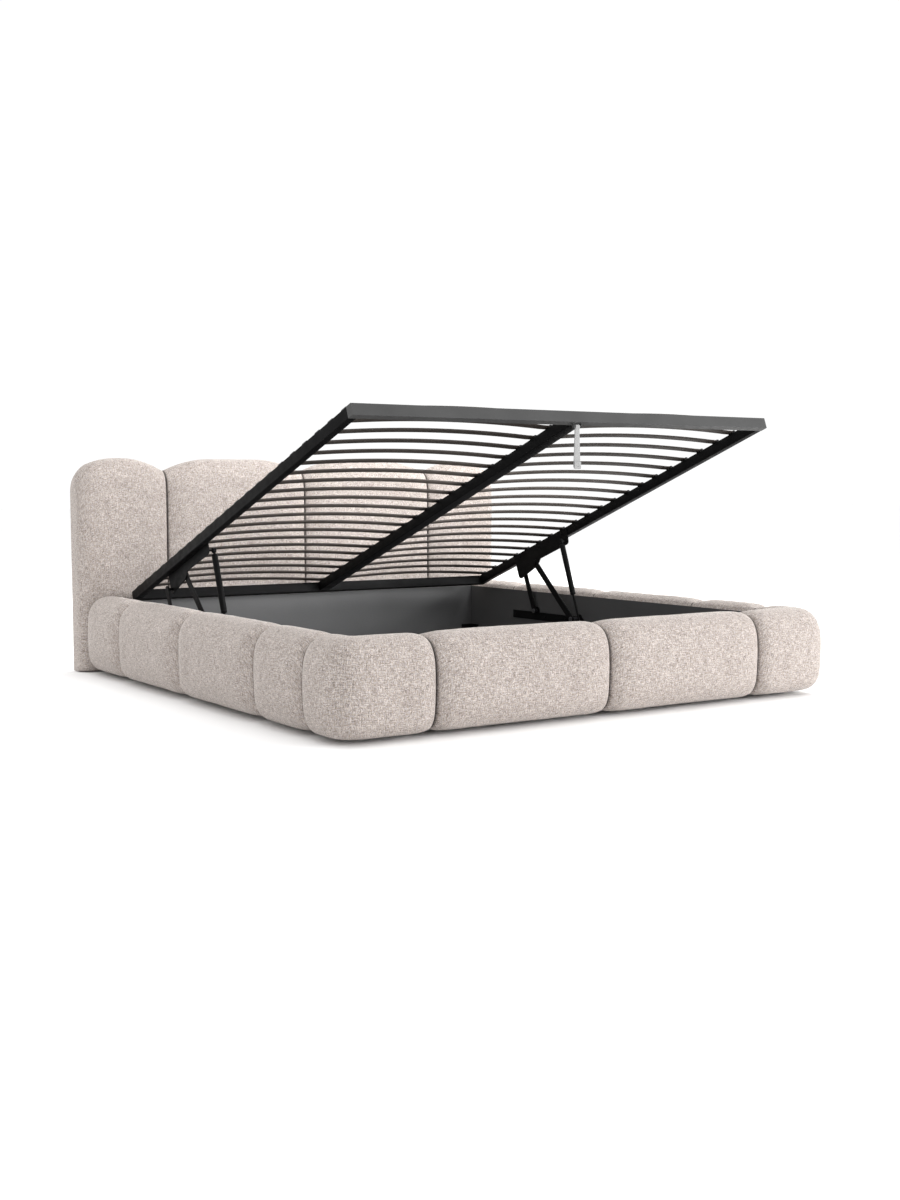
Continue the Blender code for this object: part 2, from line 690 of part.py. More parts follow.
def rear_arm(name, side, slot):
    pivot = Vector((side * REAR_ARM_X, REAR_PIVOT_Y, REAR_PIVOT_Z))
    lug = deck_point(REAR_LUG_ALONG, REAR_LUG_BELOW)
    length = math.hypot(lug.y - pivot.y, lug.z - pivot.z)
    turn = math.atan2(lug.z - pivot.z, lug.y - pivot.y)
    inner = -side * ARM_THICKNESS
    mesh = mesh_from(name, *prism_points(arm_outline(length, REAR_ARM_WIDTH), inner, 0))
    stub_end = DECK_HALF - TUBE_WIDTH - FIT_GAP + RUNNING_GAP
    stub = prism_points(circle((length, 0), PIN_RADIUS, 20), side * stub_end - pivot.x, inner / 2)
    mesh = combined(mesh, mesh_from("stub", *stub), "UNION")
    mesh = with_hole(mesh, (0, 0), PIN_RADIUS + RUNNING_GAP, 2 * inner, -inner)
    return place(name, mesh, slot, pivot, turn)


def front_arm(name, side, slot):
    pivot = Vector((side * FRONT_ARM_X, FRONT_PIVOT_Y, FRONT_PIVOT_Z))
    lug = deck_point(FRONT_LUG_ALONG, FRONT_LUG_BELOW)
    length = math.hypot(lug.y - pivot.y, lug.z - pivot.z)
    turn = math.atan2(lug.z - pivot.z, lug.y - pivot.y)
    inner = -side * ARM_THICKNESS
    mesh = mesh_from(name, *prism_points(arm_outline(length, FRONT_ARM_WIDTH), inner, 0))
    for spot in ((0, 0), (length, 0)):
        mesh = with_hole(mesh, spot, PIN_RADIUS + RUNNING_GAP, 2 * inner, -inner)
    return place(name, mesh, slot, pivot, turn)


def spring_line():
    """Top eye of the gas spring, its length and its turn about X from +Y."""
    top = deck_point(SPRING_LUG_ALONG, SPRING_LUG_BELOW)
    run_y = SPRING_PIVOT_Y - top.y
    run_z = SPRING_PIVOT_Z - top.z
    return top, math.hypot(run_y, run_z), math.atan2(run_z, run_y)


def spring_cylinder(name, side, slot):
    top, length, turn = spring_line()
    body = prism_points(circle((0, 0), SPRING_BODY_RADIUS, 20), SPRING_BODY_START, SPRING_BODY_END, "y")
    mesh = mesh_from(name, *body)
    eye = prism_points(circle((0, 0), EYE_RADIUS, 20), -EYE_WIDTH / 2, EYE_WIDTH / 2)
    mesh = combined(mesh, mesh_from("eye", *eye), "UNION")
    bore_radius = SPRING_ROD_RADIUS + RUNNING_GAP
    bore = prism_points(circle((0, 0), bore_radius, 20), SPRING_BORE_START, 2 * SPRING_BODY_END, "y")
    mesh = combined(mesh, mesh_from("bore", *bore), "DIFFERENCE")
    mesh = with_hole(mesh, (0, 0), STUD_RADIUS + RUNNING_GAP, -EYE_WIDTH, EYE_WIDTH)
    return place(name, mesh, slot, (side * SPRING_AXIS_X, top.y, top.z), turn, smooth=True)


def spring_rod(name, side, slot):
    top, length, turn = spring_line()
    rod = prism_points(circle((0, 0), SPRING_ROD_RADIUS, 16), -SPRING_ROD_LENGTH, 0, "y")
    mesh = mesh_from(name, *rod)
    eye = prism_points(circle((0, 0), EYE_RADIUS, 20), -EYE_WIDTH / 2, EYE_WIDTH / 2)
    mesh = combined(mesh, mesh_from("eye", *eye), "UNION")
    location = (side * SPRING_AXIS_X, SPRING_PIVOT_Y, SPRING_PIVOT_Z)
    return place(name, mesh, slot, location, turn, smooth=True)


def foot_bar(name, slot, pivot):
    """Foot bar across the deck's full width, closed at its ends, vented into the centre
    beam, with two ears and the pin that the pull strap hangs on."""
    y, z = deck_local(DECK_LENGTH - TUBE_WIDTH / 2, 0)
    low = (-DECK_HALF, y - TUBE_WIDTH / 2, z - TUBE_HEIGHT)
    high = (DECK_HALF, y + TUBE_WIDTH / 2, z)
    mesh = box_mesh(name, low, high)
    bore = box_mesh("bore", [a + TUBE_WALL for a in low], [a - TUBE_WALL for a in high])
    mesh = combined(mesh, bore, "DIFFERENCE")
    vent_low = (-TUBE_WALL, high[1] - 2 * TUBE_WALL, z - TUBE_HEIGHT / 2 - TUBE_WALL)
    vent = box_mesh("vent", vent_low, (TUBE_WALL, high[1] + TUBE_WALL, z - TUBE_HEIGHT / 2 + TUBE_WALL))
    mesh = combined(mesh, vent, "DIFFERENCE")
    pin_y, pin_z = deck_local(STRAP_ALONG, TUBE_HEIGHT + STRAP_PIN_DROP)
    inner = STRAP_WIDTH / 2 + STRAP_GAP
    ears = []
    for side in (-1, 1):
        xs = sorted((STRAP_X + side * inner, STRAP_X + side * (inner + STRAP_EAR_THICKNESS)))
        low = (xs[0], pin_y - STRAP_EAR_HALF, pin_z - STRAP_EAR_HALF)
        high = (xs[1], pin_y + STRAP_EAR_HALF, z - TUBE_HEIGHT + TUBE_WALL / 2)
        ears.append(box_points(low, high))
    mesh = combined(mesh, joined_mesh("ears", ears), "UNION")
    reach = inner + STRAP_EAR_THICKNESS / 2
    pin = prism_points(circle((pin_y, pin_z), STRAP_PIN_RADIUS, 16), STRAP_X - reach, STRAP_X + reach)
    mesh = combined(mesh, mesh_from("pin", *pin), "UNION")
    return place(name, mesh, slot, parent=pivot)


def pull_strap(name, slot):
    """Doubled webbing looped over the foot bar's pin, with a sewn fold at its end."""
    thick = STRAP_THICKNESS
    loop = STRAP_PIN_RADIUS + STRAP_GAP + STRAP_THICKNESS
    start = math.degrees(math.asin(thick / loop))
    outline = arc((0, 0), loop, -90 + start, 270 - start, 14)
    outline += [(-thick * share, -STRAP_LENGTH * run) for share, run in STRAP_FOLD_SHARES]
    outline += [(thick * share, -STRAP_LENGTH * run) for share, run in reversed(STRAP_FOLD_SHARES)]
    half = STRAP_WIDTH / 2
    mesh = mesh_from(name, *prism_points(outline, -half, half))
    mesh = with_hole(mesh, (0, 0), STRAP_PIN_RADIUS + STRAP_GAP, -STRAP_WIDTH, STRAP_WIDTH)
    location = deck_point(STRAP_ALONG, TUBE_HEIGHT + STRAP_PIN_DROP, STRAP_X)
    return place(name, mesh, slot, location, smooth=True)


def corner_angle(name, side, end, slot):
    """Steel angle in an inner corner of the box."""
    x = INNER_X - FIT_GAP
    y = INNER_Y - FIT_GAP
    if end > 0:
        y = HEAD_PANEL_Y - FIT_GAP
    outline = [
        (0, 0), (-ANGLE_LEG, 0), (-ANGLE_LEG, -ANGLE_THICKNESS),
        (-ANGLE_THICKNESS, -ANGLE_THICKNESS), (-ANGLE_THICKNESS, -ANGLE_LEG), (0, -ANGLE_LEG),
    ]
    count = len(outline)
    points = [(side * p, end * q, run) for run in (0, ANGLE_TOP - ANGLE_BOTTOM) for p, q in outline]
    faces = [tuple(range(count)), tuple(range(2 * count - 1, count - 1, -1))]
    for i in range(count):
        j = (i + 1) % count
        faces.append((i, i + count, j + count, j))
    return place(name, mesh_from(name, points, faces), slot, (side * x, end * y, ANGLE_BOTTOM))


def build_box(board, steel, plastic):
    top = BOARD_TOP
    head_end = HEAD_PANEL_Y + HEAD_PANEL_THICKNESS
    for word, side in (("left", -1), ("right", 1)):
        xs = sorted((side * INNER_X, side * BOARD_OUT_X))
        centred_box(f"side_board_{word}", (xs[0], -INNER_Y, BOARD_BOTTOM), (xs[1], head_end, top), board)
        xs = sorted((side * (INNER_X - FIT_GAP), side * (INNER_X - FIT_GAP - LEDGER_WIDTH)))
        low = (xs[0], -INNER_Y + FIT_GAP, LEDGER_BOTTOM)
        high = (xs[1], INNER_Y, FLOOR_BEAM_HEIGHT)
        centred_box(f"floor_ledger_{word}", low, high, board)
        xs = sorted((side * FIT_GAP, side * (INNER_X - FIT_GAP)))
        base = FLOOR_BEAM_HEIGHT + FIT_GAP
        low = (xs[0], -INNER_Y + FIT_GAP, base)
        high = (xs[1], INNER_Y, base + FLOOR_PANEL_THICKNESS)
        centred_box(f"storage_floor_{word}", low, high, board)
        for place_word, end in (("head", 1), ("foot", -1)):
            corner_angle(f"corner_angle_{word}_{place_word}", side, end, steel)
            xs = sorted((side * (INNER_X + GLIDE_SIDE_MARGIN), side * (BOARD_OUT_X - GLIDE_SIDE_MARGIN)))
            y = end * GLIDE_Y
            low = (xs[0], y - GLIDE_LENGTH / 2, 0)
            high = (xs[1], y + GLIDE_LENGTH / 2, BOARD_BOTTOM - FIT_GAP)
            centred_box(f"glide_{word}_{place_word}", low, high, plastic)
    foot_low = (-BOARD_OUT_X, -BOARD_OUT_Y - FIT_GAP, BOARD_BOTTOM)
    centred_box("foot_board", foot_low, (BOARD_OUT_X, -INNER_Y - FIT_GAP, top), board)
    half = INNER_X - FIT_GAP
    centred_box("head_panel", (-half, HEAD_PANEL_Y, BOARD_BOTTOM), (half, head_end, top), board)
    half = FLOOR_BEAM_WIDTH / 2
    centred_box("floor_centre_beam", (-half, -INNER_Y + FIT_GAP, 0), (half, INNER_Y, FLOOR_BEAM_HEIGHT), board)


def build_rail_pads(fabric):
    gap = SEAM_GAP / 2
    head = HEADBOARD_FRONT_Y - SEAM_GAP
    cuts = [head, *SIDE_SEAMS, CORNER_SEAM_SIDE]
    seams = list(zip(cuts[1:], cuts))
    for word, side in (("left", -1), ("right", 1)):
        for number, (low, high) in enumerate(seams, 1):
            end = high if number == 1 else high - gap
            name = f"side_pad_{word}_{number}"
            straight_pad(name, BOARD_OUT_X + FIT_GAP, (side, 0), (0, 1), low + gap, end, fabric)
        corner_pad(f"foot_corner_pad_{word}", side, fabric)
        xs = sorted((side * gap, side * (CORNER_SEAM_FOOT - gap)))
        straight_pad(f"foot_pad_{word}", BOARD_OUT_Y + 2 * FIT_GAP, (0, -1), (1, 0), xs[0], xs[1], fabric)


def build_headboard(fabric, board, lining):
    gap = SEAM_GAP / 2
    half = HEADBOARD_HALF - HEADBOARD_FRAME_INSET - FIT_GAP
    y0 = HEADBOARD_PAD_BACK_Y + FIT_GAP
    y1 = HEADBOARD_PAD_BACK_Y + HEADBOARD_FRAME_DEPTH
    centred_box("headboard_frame", (-half, y0, 0), (half, y1, HEADBOARD_FRAME_TOP), board)
    y0 = y1 + FIT_GAP
    low = (-half, y0, HEADBOARD_BACK_BOTTOM)
    centred_box("headboard_back_panel", low, (half, y0 + HEADBOARD_BACK_DEPTH, HEADBOARD_FRAME_TOP), lining)
    seam = HEADBOARD_SEAM
    headboard_pad("headboard_pad_1", -HEADBOARD_HALF, -seam - gap, True, False, fabric)
    headboard_pad("headboard_pad_2", -seam + gap, -gap, False, False, fabric)
    headboard_pad("headboard_pad_3", gap, seam - gap, False, False, fabric)
    headboard_pad("headboard_pad_4", seam + gap, HEADBOARD_HALF, False, True, fabric)


def build_deck(steel, bar_steel, slat_finish, strap_fabric, hardware):
    pivot = bpy.data.objects.new("deck_pivot", None)
    bpy.context.scene.collection.objects.link(pivot)
    pivot.location = deck_point(FRONT_LUG_ALONG, FRONT_LUG_BELOW)
    pivot.rotation_euler = (-DECK_TILT, 0, 0)
    for word, side in (("left", -1), ("right", 1)):
        deck_side(f"deck_side_tube_and_slats_{word}", side, slat_finish, pivot)
        upper_bracket(f"upper_bracket_{word}", side, steel, pivot)
        lower_bracket(f"lower_bracket_{word}", side, steel)
        rear_arm(f"rear_arm_{word}", side, steel)
        front_arm(f"front_arm_{word}", side, steel)
        spring_cylinder(f"gas_spring_cylinder_{word}", side, steel)
        spring_rod(f"gas_spring_rod_{word}", side, hardware)
        rear = (REAR_PIVOT_Y, REAR_PIVOT_Z)
        rear_inner = REAR_ARM_X - ARM_THICKNESS - RUNNING_GAP
        pivot_bolt(f"rear_pivot_bolt_{word}", side, rear, PIN_RADIUS, rear_inner, True, hardware)
        front = (FRONT_PIVOT_Y, FRONT_PIVOT_Z)
        front_inner = FRONT_ARM_X - ARM_THICKNESS - RUNNING_GAP
        pivot_bolt(f"front_pivot_bolt_{word}", side, front, PIN_RADIUS, front_inner, True, hardware)
        spring = (SPRING_PIVOT_Y, SPRING_PIVOT_Z)
        stud_inner = SPRING_AXIS_X + EYE_WIDTH / 2 + RUNNING_GAP
        pivot_bolt(f"gas_spring_stud_{word}", side, spring, SPRING_STUD_RADIUS, stud_inner, False, hardware)
    centre_beam("deck_centre_beam", steel, pivot)
    head_bar("deck_head_bar", steel, pivot)
    foot_bar("deck_foot_bar", bar_steel, pivot)
    pull_strap("pull_strap", strap_fabric)


def main():
    clear_scene()
    fabric = material("beige_woven_fabric", (0.56, 0.51, 0.46), 0.95, 0.0)
    lining = material("back_lining_fabric", (0.42, 0.38, 0.34), 0.95, 0.0)
    board = material("charcoal_board", (0.065, 0.066, 0.07), 0.75, 0.0)
    steel = material("black_steel", (0.012, 0.012, 0.013), 0.45, 0.6)
    bar_steel = material("graphite_steel", (0.045, 0.046, 0.048), 0.45, 0.6)
    slat_finish = material("dark_slat_finish", (0.045, 0.04, 0.037), 0.5, 0.0)
    strap_fabric = material("light_grey_webbing", (0.65, 0.65, 0.66), 0.9, 0.0)
    plastic = material("black_plastic", (0.02, 0.02, 0.02), 0.5, 0.0)
    hardware = material("dark_zinc_steel", (0.08, 0.08, 0.085), 0.35, 0.9)
    build_box(board, steel, plastic)
    build_rail_pads(fabric)
    build_headboard(fabric, board, lining)
    build_deck(steel, bar_steel, slat_finish, strap_fabric, hardware)


main()
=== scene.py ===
"""Looks of the upholstered storage bed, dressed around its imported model.

Metres, +Z up, in the model's own frame: the headboard stands on the +Y side, the foot
end faces -Y, and the slatted deck is raised at rest.
"""

import json
import math

import bmesh
import bpy
from mathutils import Matrix, Vector, noise


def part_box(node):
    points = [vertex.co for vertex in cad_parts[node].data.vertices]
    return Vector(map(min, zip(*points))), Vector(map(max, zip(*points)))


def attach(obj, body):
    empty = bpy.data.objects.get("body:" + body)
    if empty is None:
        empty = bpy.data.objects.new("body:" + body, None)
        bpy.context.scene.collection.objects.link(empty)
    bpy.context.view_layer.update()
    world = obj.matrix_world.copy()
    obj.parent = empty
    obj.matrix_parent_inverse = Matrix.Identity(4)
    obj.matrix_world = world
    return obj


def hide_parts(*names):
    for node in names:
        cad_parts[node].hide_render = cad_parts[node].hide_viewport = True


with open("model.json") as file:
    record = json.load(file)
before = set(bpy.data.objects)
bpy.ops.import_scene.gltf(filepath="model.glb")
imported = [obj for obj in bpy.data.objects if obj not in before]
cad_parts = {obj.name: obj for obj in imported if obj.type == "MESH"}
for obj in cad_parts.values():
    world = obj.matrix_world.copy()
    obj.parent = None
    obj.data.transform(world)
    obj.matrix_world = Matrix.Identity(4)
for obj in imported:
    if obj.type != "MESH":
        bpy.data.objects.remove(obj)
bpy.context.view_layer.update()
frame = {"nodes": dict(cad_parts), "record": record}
nodes = frame["nodes"]

# Camera, fitted to the photograph
CAMERA_PLACE = (-3.1072, -4.8445, 0.7704)
CAMERA_YAW = 0.58619
CAMERA_PITCH = -0.07628
CAMERA_ROLL = -0.0018
CAMERA_FOCAL_PIXELS = 1428.0
PICTURE_HEIGHT_PIXELS = 1200
SENSOR = 36.0

# Storage box and rails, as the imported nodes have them
BOARD_THICKNESS = 0.018
FIT_GAP = 0.0004
BOARD_BOTTOM = 0.020
BOARD_TOP = 0.300
SEAM_GAP = 0.0012
RAIL_CROWN = 0.332
RAIL_BOTTOM = 0.012
RAIL_EDGE_RADIUS = 0.066
RAIL_SEAM_DEPTH = 0.040
RAIL_TOP_DROP = 0.030
RAIL_BOTTOM_RISE = 0.026
RAIL_TOP_REACH_SHARE = 3
CORNER_POWER = 3.2

# Headboard pads
HEADBOARD_CROWN = 0.919
HEADBOARD_BOTTOM = 0.002
HEADBOARD_FRAME_DEPTH = 0.0326
HEADBOARD_FRAME_TOP = 0.770
HEADBOARD_FRAME_INSET = 0.050
HEADBOARD_EDGE_RADIUS = 0.062
HEADBOARD_SEAM_DEPTH = 0.030
HEADBOARD_END_DEPTH = 0.055
HEADBOARD_DOME_RUN = 0.236
HEADBOARD_DOME_DROP = 0.058
HEADBOARD_DOME_POWER = 2.2
HEADBOARD_CORNER_RADIUS = 0.052

# Deck
DECK_TILT = math.radians(20.35)
DECK_HEAD_Y = 0.910
DECK_HEAD_Z = 0.3475
DECK_LENGTH = 2.000
DECK_HALF = 0.900
TUBE_WIDTH = 0.030
TUBE_HEIGHT = 0.040
TUBE_CORNER = 0.003
CENTRE_BEAM_HALF = 0.025
SLAT_ROWS = 21
HEAD_SLAT = 0.049
FOOT_SLAT = 0.068
SLAT_WIDTH = 0.028
SLAT_THICKNESS = 0.0065
SLAT_END_HEIGHT = 0.0065
SLAT_CAMBER = 0.018
SLAT_EDGE = 0.003
SLAT_BOW_START = 0.029
SLAT_BOW_END = 0.868
SLAT_INNER_END = 0.008
SLAT_OUTER_END = 0.885
SLAT_SPANS = 28
SLAT_EDGE_ANGLES = (0, 30, 60, 90)
HOLDER_INNER = 0.878
HOLDER_OUTER = 0.892
HOLDER_WIDTH = 0.031
HOLDER_HEIGHT = 0.0112
HOLDER_RAMP = 0.005
HOLDER_LIP = 0.003
HOLDER_ROUNDING = 0.0015
CENTRE_HOLDER_HALF = 0.014

# Gas springs: their ends as (y, z), and profiles as (distance from the top end, radius),
# at the piston's foot as (distance from the foot end, radius)
SPRING_X = 0.8405
SPRING_TOP = (0.19931, 0.54497)
SPRING_FOOT = (0.030, 0.085)
SPRING_EYE_RADIUS = 0.0098
SPRING_EYE_WIDTH = 0.0136
SPRING_TOP_BORE = 0.0042
SPRING_FOOT_BORE = 0.0052
SPRING_TUBE_PROFILE = (
    (0.0085, 0.0046), (0.0150, 0.0046), (0.0156, 0.0095), (0.0170, 0.0112), (0.0195, 0.0120),
    (0.2340, 0.0120), (0.2355, 0.0113), (0.2375, 0.0113), (0.2390, 0.0120), (0.2455, 0.0120),
    (0.2480, 0.0110), (0.2495, 0.0085), (0.2500, 0.0062),
)
PISTON_START = (0.2440, 0.0048)
PISTON_FOOT_PROFILE = (
    (0.0235, 0.0048), (0.0230, 0.0066), (0.0135, 0.0066), (0.0120, 0.0050), (0.0085, 0.0046),
)

# Screws of the lower brackets: the bracket's inner face, a head's profile as (distance
# off that face, share of the head's radius), and the heads' places as (y, z)
BRACKET_FACE_X = 0.9056
SCREW_RADIUS = 0.0052
SCREW_PROFILE = (
    (-0.0004, 1.0), (0.0006, 1.0), (0.0020, 0.84), (0.0028, 0.5), (0.0029, 0.34), (0.0017, 0.28),
)
SCREW_RECESS = 0.0016
SCREW_CENTRE_RADIUS = 0.0002
SCREW_PLACES = ((0.625, 0.187), (0.400, 0.187), (0.250, 0.187), (0.095, 0.150))

# Pull strap
STRAP_X = -0.007
STRAP_PLACE = 1.985
STRAP_BELOW = 0.049
STRAP_PIN_RADIUS = 0.003
STRAP_THICKNESS = 0.0019
STRAP_LENGTH = 0.150
STRAP_TOP_WIDTH = 0.018
STRAP_END_WIDTH = 0.0298
STRAP_PIN_PLAY = 0.0003
STRAP_LAYER_GAP = 0.0002
STRAP_END_SPARE = 0.004
STRAP_FOLD_SHARE = 1.9
STRAP_SECTION_SHARES = (
    (-1.00, 0.00), (-0.97, 0.80), (-0.88, 1.00), (0.00, 0.92), (0.88, 1.00), (0.97, 0.80),
    (1.00, 0.00), (0.97, -0.80), (0.88, -1.00), (0.00, -0.92), (-0.88, -1.00), (-0.97, -0.80),
)
STITCH_ROWS = (-0.0150, -0.0185, -0.1270, -0.1375)
STITCHED_FOLD = -0.1
STITCHED_FOLD_SHARE = 3.3
STITCHES_IN_ROW = 9
STITCH_PITCH = 0.0026
STITCH_HALF = Vector((0.0009, 0.00035, 0.00028))
STITCH_EDGE = 0.0002

# Profile shares: outward from the back plane and up from the bottom to the crown
RAIL_PROFILE_SHARES = (
    (-0.076, 0.952), (0.030, 0.977), (0.182, 0.995), (0.334, 1.000), (0.501, 0.992), (0.669, 0.962),
    (0.805, 0.911), (0.904, 0.838), (0.969, 0.744), (0.997, 0.610), (1.000, 0.420), (0.973, 0.213),
    (0.912, 0.112), (0.805, 0.044), (0.653, 0.008), (0.456, 0.000),
)
HEADBOARD_PROFILE_SHARES = (
    (-0.240, 0.984), (0.000, 0.997), (0.239, 1.000), (0.489, 0.994), (0.717, 0.978), (0.880, 0.951),
    (0.966, 0.914), (1.000, 0.864), (1.000, 0.688), (1.000, 0.498), (1.000, 0.310), (0.998, 0.133),
    (0.983, 0.044), (0.912, 0.011), (0.760, 0.000),
)

# Shares of the headboard's height: its back edge, and where its domes begin to drop
HEADBOARD_BACK_SHARE = 0.967
HEADBOARD_DROP_SHARE = 0.6

# Mesh density, and rows of a cover's section counted from its back
PAD_GRID = 0.014
HEADBOARD_GRID_SHARE = 1.3
HEADBOARD_SECTION_SHARE = 1.4
SPLINE_STEPS = 6
RAIL_EDGE_STEPS = 8
HEADBOARD_EDGE_STEPS = 10
CORNER_TURNS = 22
RAIL_FIXED_ROWS = 4
HEADBOARD_FIXED_ROWS = 5
EASING_ROWS = 3
FIRM_ROWS = 4
ROUND_SIDES = 28
SCREW_SIDES = 20

# Filling of the covers: how far from a seam they are held, and how they swell
HOLD_NEAR = 0.002
HOLD_FAR = 0.024
SLACK = 0.003
SWELL_FRAMES = 20
SWELL_CAP = 0.004
UNEVEN_BROAD = 0.0012
UNEVEN_SMALL = 0.0006
BROAD_SCALE = 9.0
SMALL_SCALE = 24.0
SMALL_SHIFT = Vector((7, 3, 1))

# Weave of the covers, and the painted shade that darkens their colour near their seams
SEAM_SHADE_INNER = 0.0012
SEAM_SHADE_OUTER = 0.0055
SEAM_SHADE_DARKEST = 0.38
NO_SEAM_SHADE = 0.1
STRETCH_LIMIT = 1.5
SHORT_EDGE = 0.004
FACING_UP = 0.75

# Fabric pattern: repeats per metre, shares in the tone, and (tone, colour) stops
YARN_PITCH = 0.0032
YARN_WOBBLE = 5.0
YARN_ACROSS_SCALE = 290
YARN_ALONG_SCALE = 46
YARN_SWAP_SCALE = 150
YARN_SWAP_RANGE = (0.42, 0.58)
SLUB_SCALES = (250, 270, 1)
TINT_SCALE = 170
YARN_SHARE = 0.56
SLUB_SHARE = 0.37
CLOUD_SHARE = 0.07
FABRIC_TONES = (
    (0.36, (0.145, 0.123, 0.108)),
    (0.45, (0.315, 0.277, 0.252)),
    (0.52, (0.440, 0.395, 0.364)),
    (0.59, (0.640, 0.592, 0.558)),
)
FABRIC_TINTS = ((0.36, (1.03, 0.985, 0.93)), (0.64, (0.97, 0.985, 1.045)))

# Webbing pattern
RIB_PITCH = 0.0026
PICK_PITCH = 0.0019

# The middle of a noise, over which colours and roughness run
NOISE_LOW = 0.3
NOISE_HIGH = 0.7

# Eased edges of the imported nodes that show, by material
EDGE_WIDTHS = {
    "charcoal_board": 0.0012,
    "black_steel": 0.0007,
    "graphite_steel": 0.0022,
    "dark_zinc_steel": 0.0006,
    "black_plastic": 0.0012,
    "lining_fabric": 0.0020,
}
WELD_DISTANCE = 0.00002
EASED_ANGLE = math.radians(40)

# Lights: name, place, target, size, watts and spread in degrees
LIGHTS = (
    ("top", (0.0, 0.5, 6.0), (0, 0, 0), (6.0, 6.0), 145, 180),
    ("side", (6.0, -6.0, 1.8), (0.9, -1.0, 0.25), (2.5, 2.0), 44, 50),
    ("under_deck", (0.3, -0.85, 0.55), (-0.4, 0.95, 0.66), (1.2, 0.36), 6.4, 70),
    ("headboard", (1.5, -0.7, 2.1), (0.62, 1.0, 0.72), (0.9, 0.5), 4.5, 48),
    ("back", (5.5, 4.5, 4.5), (0, 0, 0.3), (3.0, 3.0), 380, 180),
)
WORLD_STRENGTH = 1.03
FLOOR_HALF = 60.0

SIDES = (("left", -1), ("right", 1))
COVERS = []


def bounded(value):
    return max(0.0, min(1.0, value))


# Materials
class Shade:
    """Builds one procedural material."""

    def __init__(self, name, colour, roughness, metallic=0.0):
        self.item = bpy.data.materials.new(name)
        self.item.use_nodes = True
        self.tree = self.item.node_tree
        self.shader = self.tree.nodes["Principled BSDF"]
        self.set("Base Color", (*colour, 1.0))
        self.set("Roughness", roughness)
        self.set("Metallic", metallic)
        self.item.diffuse_color = (*colour, 1.0)

    def set(self, name, value):
        self.shader.inputs[name].default_value = value

    def node(self, kind, **values):
        made = self.tree.nodes.new(kind)
        for key, value in values.items():
            setattr(made, key, value)
        return made

    def link(self, out, into):
        self.tree.links.new(out, into)

    def feed(self, name, out):
        self.link(out, self.shader.inputs[name])

    def object_coordinates(self):
        return self.node("ShaderNodeTexCoord").outputs["Object"]

    def axes(self, vector):
        made = self.node("ShaderNodeSeparateXYZ")
        self.link(vector, made.inputs[0])
        return made.outputs

    def scaled(self, vector, scale):
        made = self.node("ShaderNodeMapping")
        made.inputs["Scale"].default_value = scale
        self.link(vector, made.inputs["Vector"])
        return made.outputs["Vector"]

    def noise(self, vector, scale=1.0, detail=3.0, rough=0.5, distortion=0.0):
        made = self.node("ShaderNodeTexNoise")
        made.inputs["Scale"].default_value = scale
        made.inputs["Detail"].default_value = detail
        made.inputs["Roughness"].default_value = rough
        made.inputs["Distortion"].default_value = distortion
        self.link(vector, made.inputs["Vector"])
        return made.outputs["Fac"]

    def ramp(self, fac, stops):
        made = self.node("ShaderNodeValToRGB")
        line = made.color_ramp
        while len(line.elements) < len(stops):
            line.elements.new(0.5)
        for element, (place, colour) in zip(line.elements, stops):
            element.position = place
            element.color = (*colour, 1.0)
        self.link(fac, made.inputs["Fac"])
        return made.outputs["Color"]

    def paint(self, fac, dark, light, low=NOISE_LOW, high=NOISE_HIGH):
        """Base colour that runs from dark at low to light at high."""
        self.feed("Base Color", self.ramp(fac, ((low, dark), (high, light))))

    def math(self, operation, a, b=None):
        made = self.node("ShaderNodeMath", operation=operation)
        for value, socket in ((a, made.inputs[0]), (b, made.inputs[1])):
            if value is None:
                continue
            if isinstance(value, (int, float)):
                socket.default_value = value
            else:
                self.link(value, socket)
        return made.outputs[0]

    def total(self, *parts):
        """Sum of (value, share) pairs."""
        result = None
        for value, share in parts:
            part = self.math("MULTIPLY", value, share)
            result = part if result is None else self.math("ADD", result, part)
        return result

    def span(self, value, low, high, new_low, new_high):
        made = self.node("ShaderNodeMapRange", clamp=True)
        for place, number in ((1, low), (2, high), (3, new_low), (4, new_high)):
            made.inputs[place].default_value = number
        self.link(value, made.inputs[0])
        return made.outputs[0]

    def roughen(self, value, low, high):
        """Roughness that runs from low to high over the middle of a noise."""
        self.feed("Roughness", self.span(value, NOISE_LOW, NOISE_HIGH, low, high))

    def mix(self, fac, a, b, blend="MIX"):
        made = self.node("ShaderNodeMix", data_type="RGBA", blend_type=blend)
        for value, socket in ((fac, made.inputs[0]), (a, made.inputs[6]), (b, made.inputs[7])):
            if isinstance(value, (int, float)):
                socket.default_value = value
            else:
                self.link(value, socket)
        return made.outputs[2]

    def bump(self, height, distance, strength, before=None):
        made = self.node("ShaderNodeBump")
        made.inputs["Strength"].default_value = strength
        made.inputs["Distance"].default_value = distance
        self.link(height, made.inputs["Height"])
        if before is not None:
            self.link(before, made.inputs["Normal"])
        return made.outputs["Normal"]

    def wave(self, value, pitch, shift=None):
        """Sine wave along a length, moved on by shift."""
        turned = self.math("MULTIPLY", value, 2 * math.pi / pitch)
        if shift is not None:
            turned = self.math("ADD", turned, shift)
        return self.math("SINE", turned)


